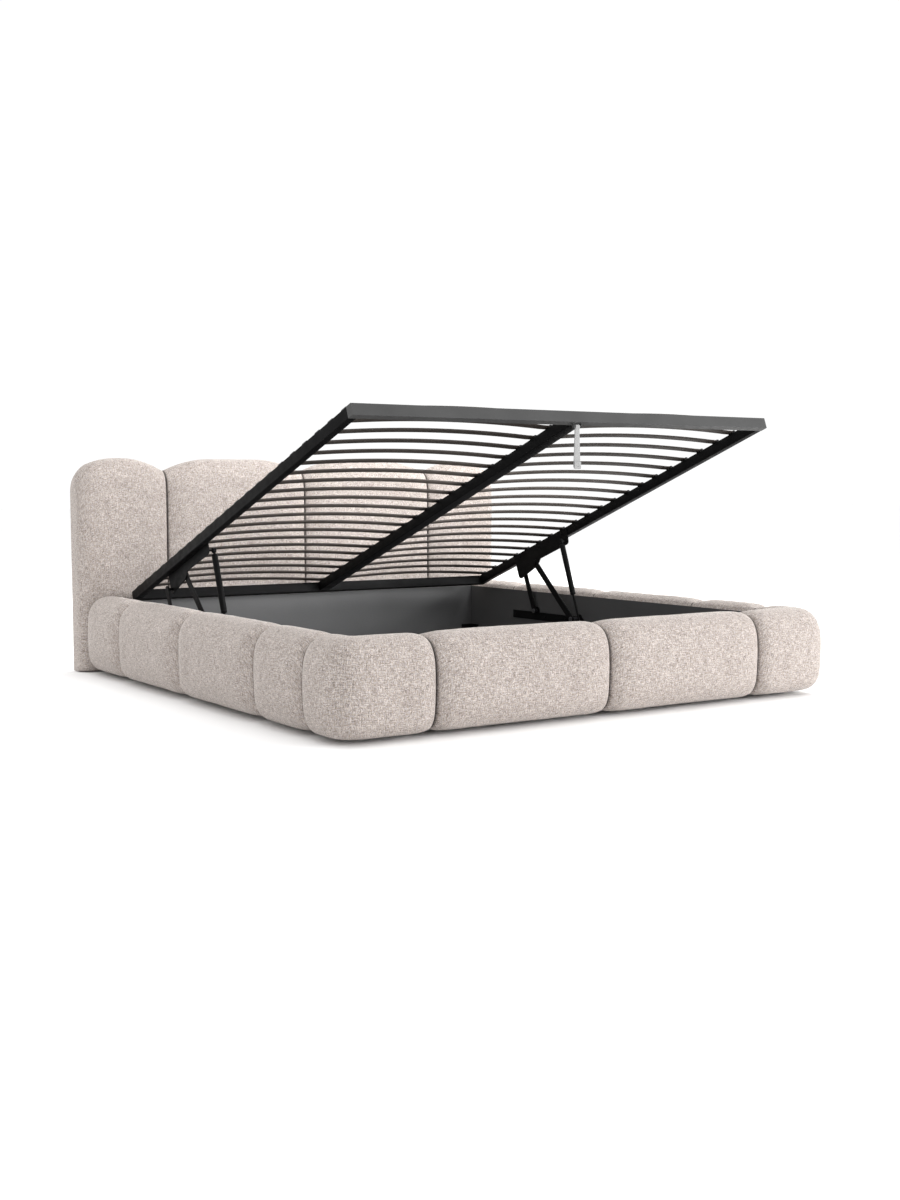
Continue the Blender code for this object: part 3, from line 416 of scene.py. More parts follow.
def woven_fabric():
    """Mottled beige-grey weave of thick uneven yarns, its colour darkened near the seams as painted
    shade; weave coordinates are metres.
    """
    m = Shade("woven_fabric", colour=(0.42, 0.375, 0.345), roughness=0.95)
    place = m.node("ShaderNodeAttribute", attribute_name="weave").outputs["Vector"]
    first, second = m.axes(place)[:2]
    wobble = m.math("MULTIPLY", m.noise(place, scale=60, detail=2), YARN_WOBBLE)
    across = m.wave(first, YARN_PITCH, wobble)
    upward = m.wave(second, YARN_PITCH, wobble)
    weave = m.span(m.math("MULTIPLY", across, upward), -1, 1, 0, 1)
    warp = m.noise(m.scaled(place, (YARN_ACROSS_SCALE, YARN_ALONG_SCALE, 1)), detail=2, rough=0.6)
    weft = m.noise(m.scaled(place, (YARN_ALONG_SCALE, YARN_ACROSS_SCALE, 1)), detail=2, rough=0.6)
    patches = m.noise(m.scaled(place, (YARN_SWAP_SCALE, YARN_SWAP_SCALE, 1)), detail=1)
    yarn = m.mix(m.span(patches, *YARN_SWAP_RANGE, 0, 1), warp, weft)
    slub = m.noise(m.scaled(place, SLUB_SCALES), rough=0.7)
    cloud = m.noise(place, scale=14.0, rough=0.55)
    tone = m.total((yarn, YARN_SHARE), (slub, SLUB_SHARE), (cloud, CLOUD_SHARE))
    tint = m.noise(m.scaled(place, (TINT_SCALE, TINT_SCALE, 1)), detail=2, rough=0.6)
    colour = m.mix(1.0, m.ramp(tone, FABRIC_TONES), m.ramp(tint, FABRIC_TINTS), "MULTIPLY")
    # Painted shade: the colour darkens towards a seam, where the valley between two pads lies in shade
    seam = m.node("ShaderNodeAttribute", attribute_name="seam").outputs["Fac"]
    shade = m.span(seam, SEAM_SHADE_INNER, SEAM_SHADE_OUTER, SEAM_SHADE_DARKEST, 1.0)
    m.feed("Base Color", m.mix(1.0, colour, shade, "MULTIPLY"))
    fine = m.bump(weave, distance=0.0007, strength=0.5)
    m.feed("Normal", m.bump(tone, distance=0.004, strength=0.7, before=fine))
    m.set("Sheen Weight", 0.55)
    m.set("Sheen Roughness", 0.28)
    m.set("Sheen Tint", (1.0, 0.955, 0.92, 1.0))
    m.set("Specular IOR Level", 0.12)
    return m.item


def lining_fabric():
    """Plain taupe lining cloth with a fine even weave."""
    m = Shade("lining_fabric", colour=(0.28, 0.25, 0.22), roughness=0.92)
    place = m.object_coordinates()
    fibre = m.noise(m.scaled(place, (160, 160, 420)), detail=4, rough=0.65, distortion=0.5)
    threads = m.noise(m.scaled(place, (620, 620, 90)), detail=2)
    tone = m.total((fibre, 0.55), (threads, 0.45))
    m.paint(tone, dark=(0.20, 0.178, 0.157), light=(0.36, 0.325, 0.292))
    m.feed("Normal", m.bump(tone, distance=0.0008, strength=0.6))
    m.set("Sheen Weight", 0.25)
    m.set("Specular IOR Level", 0.15)
    return m.item


def charcoal_board():
    """Laminated board in dark grey with a fine pressed grain."""
    m = Shade("charcoal_board", colour=(0.054, 0.054, 0.055), roughness=0.62)
    place = m.object_coordinates()
    grain = m.noise(m.scaled(place, (90, 90, 260)), detail=4, rough=0.6)
    fine = m.noise(place, scale=700, detail=2, rough=0.6)
    cloud = m.noise(place, scale=2.2)
    tone = m.total((grain, 0.5), (cloud, 0.5))
    m.paint(tone, dark=(0.049, 0.049, 0.050), light=(0.071, 0.071, 0.072), low=0.32, high=0.68)
    m.roughen(grain, low=0.52, high=0.72)
    m.feed("Normal", m.bump(fine, distance=0.00025, strength=0.35))
    m.set("Specular IOR Level", 0.35)
    return m.item


def coated_steel(name, dark, light, gloss):
    """Powder-coated steel with its fine orange peel."""
    middle = tuple((a + b) / 2 for a, b in zip(dark, light))
    m = Shade(name, middle, roughness=0.55)
    place = m.object_coordinates()
    m.paint(m.noise(place, scale=6), dark, light)
    peel = m.noise(place, scale=900, detail=2)
    m.roughen(m.noise(place, scale=35), low=0.46, high=0.60)
    m.feed("Normal", m.bump(peel, distance=0.0002, strength=0.25))
    m.set("Specular IOR Level", gloss)
    return m.item


def slat_foil():
    """Dark grey-brown foil on bent plywood, with a faint lengthwise grain."""
    m = Shade("dark_slats", colour=(0.045, 0.038, 0.034), roughness=0.5)
    place = m.object_coordinates()
    grain = m.noise(m.scaled(place, (9, 240, 240)), detail=5, rough=0.6, distortion=0.4)
    m.paint(grain, dark=(0.030, 0.025, 0.022), light=(0.062, 0.053, 0.047))
    m.roughen(grain, low=0.45, high=0.62)
    m.feed("Normal", m.bump(grain, distance=0.0003, strength=0.4))
    m.set("Specular IOR Level", 0.14)
    return m.item


def moulded_plastic():
    """Black plastic with a fine moulded grain."""
    m = Shade("black_plastic", colour=(0.014, 0.014, 0.015), roughness=0.5)
    place = m.object_coordinates()
    grain = m.noise(place, scale=1100, detail=2, rough=0.6)
    m.paint(m.noise(place, scale=20), dark=(0.010, 0.010, 0.011), light=(0.019, 0.019, 0.020))
    m.roughen(grain, low=0.45, high=0.6)
    m.feed("Normal", m.bump(grain, distance=0.0002, strength=0.3))
    m.set("Specular IOR Level", 0.25)
    return m.item


def zinc_steel():
    """Dull zinc-plated steel."""
    m = Shade("dark_zinc_steel", colour=(0.10, 0.10, 0.105), roughness=0.4, metallic=0.8)
    place = m.object_coordinates()
    cloud = m.noise(place, scale=55, detail=4, rough=0.6)
    m.paint(cloud, dark=(0.06, 0.06, 0.063), light=(0.12, 0.12, 0.125))
    m.roughen(cloud, low=0.32, high=0.5)
    fine = m.noise(place, scale=500, detail=2)
    m.feed("Normal", m.bump(fine, distance=0.0002, strength=0.2))
    return m.item


def strap_webbing():
    """Light grey webbing; its ribs run along the strap."""
    m = Shade("grey_webbing", colour=(0.27, 0.27, 0.27), roughness=0.85)
    place = m.object_coordinates()
    parts = m.axes(place)
    ribs = m.wave(parts[0], RIB_PITCH)
    picks = m.wave(parts[2], PICK_PITCH)
    weave = m.span(m.math("MULTIPLY", ribs, picks), -1, 1, 0, 1)
    fibre = m.noise(place, scale=300, rough=0.6)
    tone = m.total((weave, 0.4), (fibre, 0.6))
    m.paint(tone, dark=(0.26, 0.26, 0.26), light=(0.42, 0.42, 0.42))
    m.feed("Normal", m.bump(weave, distance=0.0004, strength=0.6))
    m.set("Sheen Weight", 0.3)
    m.set("Specular IOR Level", 0.2)
    return m.item


MATERIALS = {
    "woven_fabric": woven_fabric(),
    "lining_fabric": lining_fabric(),
    "charcoal_board": charcoal_board(),
    "black_steel": coated_steel(
        "black_steel", dark=(0.003, 0.003, 0.0032), light=(0.006, 0.006, 0.0062), gloss=0.06,
    ),
    "graphite_steel": coated_steel(
        "graphite_steel", dark=(0.060, 0.060, 0.060), light=(0.074, 0.074, 0.074), gloss=0.15,
    ),
    "dark_slats": slat_foil(),
    "dark_zinc_steel": zinc_steel(),
    "black_plastic": moulded_plastic(),
    "grey_webbing": strap_webbing(),
}


# Meshes
def stretched(face, points, weave):
    """Whether the weave coordinates of a face are drawn out or squeezed along an edge."""
    corners = list(face.vertices)
    for a, b in zip(corners, corners[1:] + corners[:1]):
        length = math.dist(points[a], points[b])
        woven = math.dist(weave[a], weave[b])
        if max(length, woven) > SHORT_EDGE and max(length, woven) > STRETCH_LIMIT * min(length, woven):
            return True
    return False


def plain_weave(normal, point):
    """Weave coordinates of a point in a face that takes them from its own plane."""
    x, y, z = point
    if abs(normal.z) > FACING_UP:
        return (y, x, 0)
    return (z, y if abs(normal.x) > abs(normal.y) else x, 0)


def add_weave(mesh, points, weave):
    """Gives faces their weave coordinates, plain ones where they are flat ends or stretched."""
    layer = mesh.attributes.new("weave", "FLOAT_VECTOR", "CORNER")
    for face in mesh.polygons:
        plain = len(face.vertices) > 4 or stretched(face, points, weave)
        for loop, vertex in zip(face.loop_indices, face.vertices):
            value = plain_weave(face.normal, points[vertex]) if plain else weave[vertex]
            layer.data[loop].vector = value


def new_piece(name, points, faces, slot, body, sharp=35.0, weave=None):
    mesh = bpy.data.meshes.new(name)
    mesh.from_pydata([tuple(p) for p in points], [], faces)
    work = bmesh.new()
    work.from_mesh(mesh)
    bmesh.ops.recalc_face_normals(work, faces=work.faces)
    work.to_mesh(mesh)
    work.free()
    if weave is not None:
        add_weave(mesh, points, weave)
    item = bpy.data.objects.new(name, mesh)
    bpy.context.scene.collection.objects.link(item)
    mesh.materials.append(MATERIALS[slot])
    mesh.shade_smooth()
    mesh.set_sharp_from_angle(angle=math.radians(sharp))
    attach(item, body)
    return item


def spline_through(points, steps):
    """Catmull-Rom curve through points, steps spans between each two."""
    full = [points[0], *points, points[-1]]
    result = []
    for i in range(1, len(full) - 2):
        a, b, c, d = full[i - 1:i + 3]
        for k in range(steps):
            t = k / steps
            value = []
            for p, q, r, s in zip(a, b, c, d):
                square = (2 * p - 5 * q + 4 * r - s) * t ** 2
                cube = (3 * q - p - 3 * r + s) * t ** 3
                value.append(0.5 * (2 * q + (r - p) * t + square + cube))
            result.append(tuple(value))
    result.append(tuple(points[-1]))
    return result


def even_points(points, spacing):
    """Open path resampled at equal distances, ends kept."""
    lengths = [0.0]
    for a, b in zip(points, points[1:]):
        lengths.append(lengths[-1] + math.dist(a, b))
    count = max(1, round(lengths[-1] / spacing))
    result = []
    k = 0
    for i in range(count + 1):
        target = lengths[-1] * i / count
        while k < len(lengths) - 2 and lengths[k + 1] < target:
            k += 1
        span = lengths[k + 1] - lengths[k]
        t = (target - lengths[k]) / span if span else 0.0
        result.append(tuple(a + (b - a) * t for a, b in zip(points[k], points[k + 1])))
    return result


def edge_roll(distance, radius):
    """How far a rolled edge has turned away, from 1 at the seam to 0 past the radius."""
    if distance >= radius:
        return 0.0
    return 1.0 - math.sqrt(1.0 - ((radius - distance) / radius) ** 2)


def rolled_offsets(radius, steps):
    """Distances from a seam over its rolled edge, closer together near the seam."""
    return [radius * (1 - math.cos(math.pi / 2 * i / steps)) for i in range(steps + 1)]


def stations_between(first, last, radius, spacing, steps):
    """Places along a pad, closer together where its ends roll in."""
    edge = rolled_offsets(radius, steps)
    count = max(2, round((last - first - 2 * radius) / spacing))
    middle = [first + radius + (last - first - 2 * radius) * i / count for i in range(1, count)]
    return [first + e for e in edge] + middle + [last - e for e in reversed(edge)]


def loft_faces(rings, count):
    """Faces of a closed loft: quads between rings, and its two flat ends."""
    faces = []
    for k in range(rings - 1):
        for i in range(count):
            j = (i + 1) % count
            faces.append((k * count + i, k * count + j, (k + 1) * count + j, (k + 1) * count + i))
    faces.append(tuple(range(count)))
    faces.append(tuple(range(rings * count - 1, (rings - 1) * count - 1, -1)))
    return faces


def weave_values(rings):
    """Weave coordinates in metres: along each lengthwise line from the middle ring, and
    around each ring from its crown."""
    runs = [[0.0] * len(rings[0])]
    for before, ring in zip(rings, rings[1:]):
        runs.append([run + math.dist(a, b) for run, a, b in zip(runs[-1], before, ring)])
    centre = len(rings) // 2
    heights = [point[2] for point in rings[centre]]
    crown = heights.index(max(heights))
    result = []
    for ring, run in zip(rings, runs):
        around = [0.0]
        for before, point in zip(ring, ring[1:]):
            around.append(around[-1] + math.dist(before, point))
        for index, value in enumerate(around):
            result.append((run[index] - runs[centre][index], value - around[crown], 0.0))
    return result


# Upholstery
def rail_outline(depth):
    """Dense section of an unrolled rail pad as (outward, up), its fixed back rows first."""
    height = RAIL_CROWN - RAIL_BOTTOM
    shaped = [(depth * a, RAIL_BOTTOM + height * b) for a, b in RAIL_PROFILE_SHARES]
    shaped = even_points(spline_through(shaped, SPLINE_STEPS), PAD_GRID)
    lip = BOARD_THICKNESS - FIT_GAP
    back = [(0, BOARD_BOTTOM), (0, (BOARD_TOP + BOARD_BOTTOM) / 2), (0, BOARD_TOP + FIT_GAP)]
    back.append((-lip, BOARD_TOP + FIT_GAP))
    return back + shaped


def rail_section(outline, depth, roll):
    """Section with its seam edge rolled in by roll, from 0 to 1."""
    lip = BOARD_THICKNESS - FIT_GAP
    middle = (RAIL_CROWN + RAIL_BOTTOM) / 2
    half = (RAIL_CROWN - RAIL_BOTTOM) / 2
    result = []
    for index, (out, up) in enumerate(outline):
        if index < RAIL_FIXED_ROWS:
            result.append((out, up))
            continue
        share = bounded(out / depth)
        reach = bounded((out + lip) / (RAIL_TOP_REACH_SHARE * lip))
        above = bounded((up - middle) / half)
        below = bounded((middle - up) / half) * share
        result.append((
            out - RAIL_SEAM_DEPTH * roll * share,
            up - RAIL_TOP_DROP * roll * reach * above + RAIL_BOTTOM_RISE * roll * below,
        ))
    return result


def held_share(distance):
    """How firmly a cover is held at a distance from its seam: 1 at the seam, 0 inside."""
    return bounded(1.0 - (distance - HOLD_NEAR) / (HOLD_FAR - HOLD_NEAR))


def add_cover(node, rings, held, weave, seam_shade_distances):
    """Makes a pad's cover and notes where the frame and its seams hold it. Its flat ends
    and its back stay unrounded. Its last argument gives each ring's distance from the nearest seam,
    which sets the painted shade near the seams."""
    rows = len(rings[0])
    points = [p for ring in rings for p in ring]
    faces = loft_faces(len(rings), rows)
    item = new_piece(f"{node}_cover", points, faces, "woven_fabric", "box_and_headboard", weave=weave)
    # Distance from the nearest seam, over which the fabric's painted seam shade runs
    layer = item.data.attributes.new("seam", "FLOAT", "POINT")
    for index, value in enumerate(layer.data):
        value.value = seam_shade_distances[index // rows]
    firm = item.data.attributes.new("crease_edge", "FLOAT", "EDGE")
    for edge, value in zip(item.data.edges, firm.data):
        a, b = edge.vertices
        at_end = a // rows == b // rows and a // rows in (0, len(rings) - 1)
        at_back = a % rows < FIRM_ROWS and b % rows < FIRM_ROWS
        value.value = 1.0 if at_end or at_back else 0.0
    group = item.vertex_groups.new(name="held")
    for index, share in enumerate(held):
        group.add([index], share, "REPLACE")
    COVERS.append((item, held))
    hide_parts(node)


def ring_holds(edges, sections, fixed):
    """Held shares of all points: by the distance to a seam, and the fixed back rows."""
    result = []
    for edge in edges:
        seam = held_share(edge)
        for index in range(sections):
            back = 1.0 if index < fixed or index == sections - 1 else 0.0
            near = index - fixed
            if 0 <= near < EASING_ROWS:
                back = 1.0 - (near + 1) / (EASING_ROWS + 1)
            result.append(max(seam, back))
    return result


def straight_pad(node, outward):
    """Straight rail pad that faces outward (x, y); its place and size come from its node."""
    low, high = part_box(node)
    k_out = 0 if outward[0] else 1
    k_run = 1 - k_out
    sign = outward[k_out]
    first = low[k_run] + SEAM_GAP / 2
    last = high[k_run] - SEAM_GAP / 2
    far = high[k_out] if sign > 0 else -low[k_out]
    near = low[k_out] if sign > 0 else -high[k_out]
    back = near + BOARD_THICKNESS - FIT_GAP
    depth = far - back
    outline = rail_outline(depth)
    rings = []
    edges = []
    for place in stations_between(first, last, RAIL_EDGE_RADIUS, PAD_GRID, RAIL_EDGE_STEPS):
        edge = min(place - first, last - place)
        edges.append(edge)
        section = rail_section(outline, depth, edge_roll(edge, RAIL_EDGE_RADIUS))
        ring = []
        for out, up in section:
            point = [0.0, 0.0, up]
            point[k_out] = sign * (back + out)
            point[k_run] = place
            ring.append(tuple(point))
        rings.append(ring)
    held = ring_holds(edges, len(outline), RAIL_FIXED_ROWS)
    add_cover(node, rings, held, weave_values(rings), edges)


def corner_offsets(run):
    """Distances from a corner pad's seam, over its rolled edge and on to its turn."""
    spare = run - RAIL_EDGE_RADIUS
    extra = max(0, round(spare / PAD_GRID))
    flat = [RAIL_EDGE_RADIUS + spare * i / (extra + 1) for i in range(1, extra + 1)]
    return rolled_offsets(RAIL_EDGE_RADIUS, RAIL_EDGE_STEPS) + flat


def corner_pad(node, side):
    """Pad that wraps a foot corner. It is worked out for the right side and mirrored."""
    low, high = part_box(node)
    lip = BOARD_THICKNESS - FIT_GAP
    out_x = high.x if side > 0 else -low.x
    seam_x = (low.x if side > 0 else -high.x) + SEAM_GAP / 2
    seam_y = high.y - SEAM_GAP / 2
    back_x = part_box("side_board_right")[1].x + FIT_GAP
    depth = out_x - back_x
    turn_x = back_x - lip
    turn_y = low.y + depth + lip
    outline = rail_outline(depth)
    rings = []
    edges = []
    for offset in corner_offsets(seam_y - turn_y):
        section = rail_section(outline, depth, edge_roll(offset, RAIL_EDGE_RADIUS))
        rings.append([(back_x + out, seam_y - offset, up) for out, up in section])
        edges.append(offset)
    flat = rail_section(outline, depth, 0.0)
    for i in range(CORNER_TURNS + 1):
        angle = math.pi / 2 * i / CORNER_TURNS
        c = math.cos(angle)
        s = math.sin(angle)
        square = 1 / max(c, s)
        rounded = (c ** CORNER_POWER + s ** CORNER_POWER) ** (-1 / CORNER_POWER)
        ring = []
        for out, up in flat:
            reach = (out + lip) * (square if out <= 0 else rounded)
            ring.append((turn_x + reach * c, turn_y - reach * s, up))
        rings.append(ring)
        edges.append(seam_y - turn_y)
    for offset in reversed(corner_offsets(turn_x - seam_x)):
        section = rail_section(outline, depth, edge_roll(offset, RAIL_EDGE_RADIUS))
        rings.append([(seam_x + offset, turn_y - lip - out, up) for out, up in section])
        edges.append(offset)
    rings = [[(side * x, y, z) for x, y, z in ring] for ring in rings]
    held = ring_holds(edges, len(outline), RAIL_FIXED_ROWS)
    add_cover(node, rings, held, weave_values(rings), edges)


def headboard_outline(depth):
    """Dense section of an unrolled headboard pad, from its back over the top."""
    height = HEADBOARD_CROWN - HEADBOARD_BOTTOM
    shaped = [(depth * a, HEADBOARD_BOTTOM + height * b) for a, b in HEADBOARD_PROFILE_SHARES]
    shaped = spline_through(shaped, SPLINE_STEPS)
    return even_points(shaped, HEADBOARD_SECTION_SHARE * PAD_GRID)


def headboard_drop(distance, outer, run):
    """How far a pad's domed top has dropped near one of its ends."""
    drop = HEADBOARD_DOME_DROP * bounded(1 - distance / run) ** HEADBOARD_DOME_POWER
    if outer:
        drop += HEADBOARD_CORNER_RADIUS * edge_roll(distance, HEADBOARD_CORNER_RADIUS)
    return drop


def headboard_section(outline, depth, edge, outer, run):
    """Section of a headboard pad, as (outward, up), at its distance edge from an end."""
    height = HEADBOARD_CROWN - HEADBOARD_BOTTOM
    lip = HEADBOARD_FRAME_DEPTH
    roll = edge_roll(edge, HEADBOARD_EDGE_RADIUS)
    roll *= HEADBOARD_END_DEPTH if outer else HEADBOARD_SEAM_DEPTH
    drop = headboard_drop(edge, outer, run)
    back = 0.0
    back_up = HEADBOARD_BOTTOM + height * HEADBOARD_BACK_SHARE - drop
    under = HEADBOARD_FRAME_TOP + FIT_GAP
    if outer and edge < HEADBOARD_FRAME_INSET - FIT_GAP / 2:
        back = FIT_GAP - lip
        under = back_up - lip / 2
    middle = HEADBOARD_BOTTOM + (under - HEADBOARD_BOTTOM) / 2
    section = [(back, HEADBOARD_BOTTOM), (back, middle), (back, under), (-lip, under), (-lip, back_up)]
    for out, up in outline:
        above = (up - HEADBOARD_BOTTOM) / height
        above = bounded((above - HEADBOARD_DROP_SHARE) / (1 - HEADBOARD_DROP_SHARE))
        section.append((out - roll * bounded(out / depth), up - drop * above))
    return section


def headboard_pad(node, first_outer, last_outer):
    """Headboard pad. An outer end wraps the frame's side."""
    low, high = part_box(node)
    depth = high.y - low.y - HEADBOARD_FRAME_DEPTH
    back_y = low.y + depth
    outline = headboard_outline(depth)
    first = low.x + (0 if first_outer else SEAM_GAP / 2)
    last = high.x - (0 if last_outer else SEAM_GAP / 2)
    run = min(HEADBOARD_DOME_RUN, (last - first) / 2)
    grid = HEADBOARD_GRID_SHARE * PAD_GRID
    places = stations_between(first, last, HEADBOARD_EDGE_RADIUS, grid, HEADBOARD_EDGE_STEPS)
    for inset in (HEADBOARD_FRAME_INSET - FIT_GAP, HEADBOARD_FRAME_INSET):
        if first_outer:
            places.append(first + inset)
        if last_outer:
            places.append(last - inset)
    places.sort()
    rings = []
    edges = []
    seam_shade_distances = []
    for place in places:
        outer = first_outer if place - first <= last - place else last_outer
        edge = min(place - first, last - place)
        section = headboard_section(outline, depth, edge, outer, run)
        rings.append([(place, back_y - out, up) for out, up in section])
        edges.append(edge)
        # An outer end has no seam, so it gets no painted seam shade
        seam_shade_distances.append(NO_SEAM_SHADE if outer else edge)
    weave = [(y, x, 0) for x, y, z in weave_values(rings)]
    held = ring_holds(edges, len(rings[0]), HEADBOARD_FIXED_ROWS)
    add_cover(node, rings, held, weave, seam_shade_distances)


def swell_covers():
    """Lets the covers fill out under pressure; the frame and the seams hold them."""
    starts = []
    for item, held in COVERS:
        mesh = item.data
        normals = [v.normal.copy() for v in mesh.vertices]
        target = [v.co.copy() for v in mesh.vertices]
        for v, normal, share in zip(mesh.vertices, normals, held):
            v.co -= normal * SLACK * (1.0 - share)
        starts.append(target)
        cloth = item.modifiers.new("swell", "CLOTH")
        how = cloth.settings
        how.quality = 6
        how.mass = 0.3
        how.tension_stiffness = 12
        how.compression_stiffness = 12
        how.shear_stiffness = 6
        how.bending_stiffness = 1.5
        how.vertex_group_mass = "held"
        how.use_pressure = True
        how.uniform_pressure_force = 4
        how.effector_weights.gravity = 0
    scene = bpy.context.scene
    for number in range(SWELL_FRAMES):
        scene.frame_set(number + 1)
    settled = bpy.context.evaluated_depsgraph_get()
    for (item, held), target in zip(COVERS, starts):
        seen = item.evaluated_get(settled).to_mesh()
        places = [v.co.copy() for v in seen.vertices]
        item.evaluated_get(settled).to_mesh_clear()
        for v, goal, place in zip(item.data.vertices, target, places):
            step = place - goal
            if step.length > SWELL_CAP:
                step *= SWELL_CAP / step.length
            v.co = goal + step
        item.modifiers.remove(item.modifiers["swell"])
        item.data.update()
    scene.frame_set(1)


def uneven_covers():
    """Small unevenness of the filling, and one subdivision."""
    for item, held in COVERS:
        mesh = item.data
        normals = [v.normal.copy() for v in mesh.vertices]
        for v, normal, share in zip(mesh.vertices, normals, held):
            broad = noise.noise(v.co * BROAD_SCALE)
            small = noise.noise(v.co * SMALL_SCALE + SMALL_SHIFT)
            v.co += normal * (UNEVEN_BROAD * broad + UNEVEN_SMALL * small) * (1.0 - share)
        item.modifiers.new("smooth", "SUBSURF").levels = 1
        item.modifiers["smooth"].render_levels = 1


for word, side in SIDES:
    for number in range(1, 5):
        straight_pad(f"side_pad_{word}_{number}", (side, 0))
    straight_pad(f"foot_pad_{word}", (0, -1))
    corner_pad(f"foot_corner_pad_{word}", side)
for number in range(1, 5):
    headboard_pad(f"headboard_pad_{number}", number == 1, number == 4)
swell_covers()
uneven_covers()


# Deck
DECK_FRAME = Matrix.Translation((0, DECK_HEAD_Y, DECK_HEAD_Z)) @ Matrix.Rotation(-DECK_TILT, 4, "X")


def on_deck(points):
    """Points given as (x, along the deck from its head end, above the tubes' top)."""
    return [tuple(DECK_FRAME @ Vector((x, -along, up))) for x, along, up in points]


def bevelled(work, width, steps):
    """Rounds all edges of a bmesh, and gives its points and faces."""
    bmesh.ops.bevel(
        work, geom=list(work.edges), offset=width, segments=steps, affect="EDGES", profile=0.5,
        clamp_overlap=True,
    )
    work.verts.index_update()
    points = [tuple(v.co) for v in work.verts]
    faces = [tuple(v.index for v in f.verts) for f in work.faces]
    work.free()
    return points, faces


def rounded_box(low, high, edge, steps):
    work = bmesh.new()
    bmesh.ops.create_cube(work, size=1.0)
    for v in work.verts:
        for k in range(3):
            v.co[k] = low[k] if v.co[k] < 0 else high[k]
    return bevelled(work, edge, steps)


def gathered(parts):
    """Points and faces of several parts as one."""
    points = []
    faces = []
    for part_points, part_faces in parts:
        start = len(points)
        points += part_points
        faces += [tuple(i + start for i in face) for face in part_faces]
    return points, faces


def slat(side, along):
    """Bowed slat with rounded long edges."""
    start = side * SLAT_INNER_END
    end = side * SLAT_OUTER_END
    inner = side * SLAT_BOW_START
    outer = side * SLAT_BOW_END
    flat_w = SLAT_WIDTH / 2 - SLAT_EDGE
    flat_t = SLAT_THICKNESS / 2 - SLAT_EDGE
    section = []
    for quarter, (cy, cz) in enumerate(((1, 1), (-1, 1), (-1, -1), (1, -1))):
        for step in SLAT_EDGE_ANGLES:
            angle = math.radians(90 * quarter + step)
            section.append((
                cy * flat_w + SLAT_EDGE * math.cos(angle), cz * flat_t + SLAT_EDGE * math.sin(angle),
            ))
    points = []
    for i in range(SLAT_SPANS + 1):
        x = start + (end - start) * i / SLAT_SPANS
        t = bounded((x - inner) / (outer - inner))
        height = SLAT_END_HEIGHT + SLAT_CAMBER * (1 - (2 * t - 1) ** 2)
        points += [(x, along + py, height + pz) for py, pz in section]
    return points, loft_faces(SLAT_SPANS + 1, len(section))


def slat_places():
    """Places of the slats along the deck."""
    pitch = (DECK_LENGTH - HEAD_SLAT - FOOT_SLAT) / (SLAT_ROWS - 1)
    return [HEAD_SLAT + pitch * i for i in range(SLAT_ROWS)]


def holder(outline, along):
    """Holder of an (x, up) outline, centred on its place along the deck, its edges rounded."""
    count = len(outline)
    ends = (along - HOLDER_WIDTH / 2, along + HOLDER_WIDTH / 2)
    faces = [tuple(range(count)), tuple(range(2 * count - 1, count - 1, -1))]
    faces += [(i, i + count, (i + 1) % count + count, (i + 1) % count) for i in range(count)]
    work = bmesh.new()
    made = [work.verts.new((x, end, up)) for end in ends for x, up in outline]
    for face in faces:
        work.faces.new([made[i] for i in face])
    bmesh.ops.recalc_face_normals(work, faces=work.faces)
    return bevelled(work, HOLDER_ROUNDING, steps=2)


def side_holder(side, along):
    """Cap on the side tube that takes a slat's end, sloped towards the tube's outer edge."""
    outline = [
        (HOLDER_INNER, 0.0), (HOLDER_INNER, HOLDER_HEIGHT), (HOLDER_OUTER - HOLDER_RAMP, HOLDER_HEIGHT),
        (HOLDER_OUTER, HOLDER_LIP), (HOLDER_OUTER, 0.0),
    ]
    return holder([(side * x, up) for x, up in outline], along)


def centre_holder(along):
    """Double holder over the centre beam, lower in its middle between the two slats."""
    half = CENTRE_HOLDER_HALF
    outline = [
        (-half, 0.0), (-half, HOLDER_HEIGHT), (-half / 3, HOLDER_HEIGHT), (-half / 5, HOLDER_HEIGHT / 2),
        (half / 5, HOLDER_HEIGHT / 2), (half / 3, HOLDER_HEIGHT), (half, HOLDER_HEIGHT), (half, 0.0),
    ]
    return holder(outline, along)


def deck_piece(name, node, parts, slot, sharp=35.0):
    """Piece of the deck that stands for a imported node, or for a share of it."""
    points, faces = gathered(parts)
    item = new_piece(name, on_deck(points), faces, slot, "deck", sharp=sharp)
    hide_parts(node)


def deck_half(word, side):
    """Side tube with its row of slats and the holders of their outer ends."""
    node = f"deck_side_tube_and_slats_{word}"
    near, far = sorted((side * (DECK_HALF - TUBE_WIDTH), side * DECK_HALF))
    low = (near, 0.0, -TUBE_HEIGHT)
    high = (far, DECK_LENGTH - TUBE_WIDTH - FIT_GAP, 0.0)
    places = slat_places()
    tube = rounded_box(low, high, TUBE_CORNER, steps=3)
    deck_piece(f"deck_side_tube_{word}", node, [tube], "black_steel")
    deck_piece(f"slats_{word}", node, [slat(side, a) for a in places], "dark_slats", sharp=50)
    deck_piece(f"slat_holders_{word}", node, [side_holder(side, a) for a in places], "black_plastic")


def centre_beam():
    """Centre tube with the double holders of the slats' inner ends."""
    node = "deck_centre_beam"
    end = TUBE_WIDTH + FIT_GAP
    low = (-CENTRE_BEAM_HALF, end, -TUBE_HEIGHT)
    high = (CENTRE_BEAM_HALF, DECK_LENGTH - end, 0.0)
    tube = rounded_box(low, high, TUBE_CORNER, steps=3)
    deck_piece("deck_centre_tube", node, [tube], "black_steel")
    caps = [centre_holder(a) for a in slat_places()]
    deck_piece("slat_holders_centre", node, caps, "black_plastic")


for word, side in SIDES:
    deck_half(word, side)
centre_beam()


# Lift mechanism
def turned(profile, origin, axis, side, corners):
    """Closed turned body: profile is (distance along the axis, radius) from end to end."""
    other = axis.cross(side)
    points = []
    for along, radius in profile:
        for i in range(corners):
            angle = 2 * math.pi * i / corners
            spot = side * math.cos(angle) + other * math.sin(angle)
            points.append(tuple(origin + axis * along + spot * radius))
    return points, loft_faces(len(profile), corners)


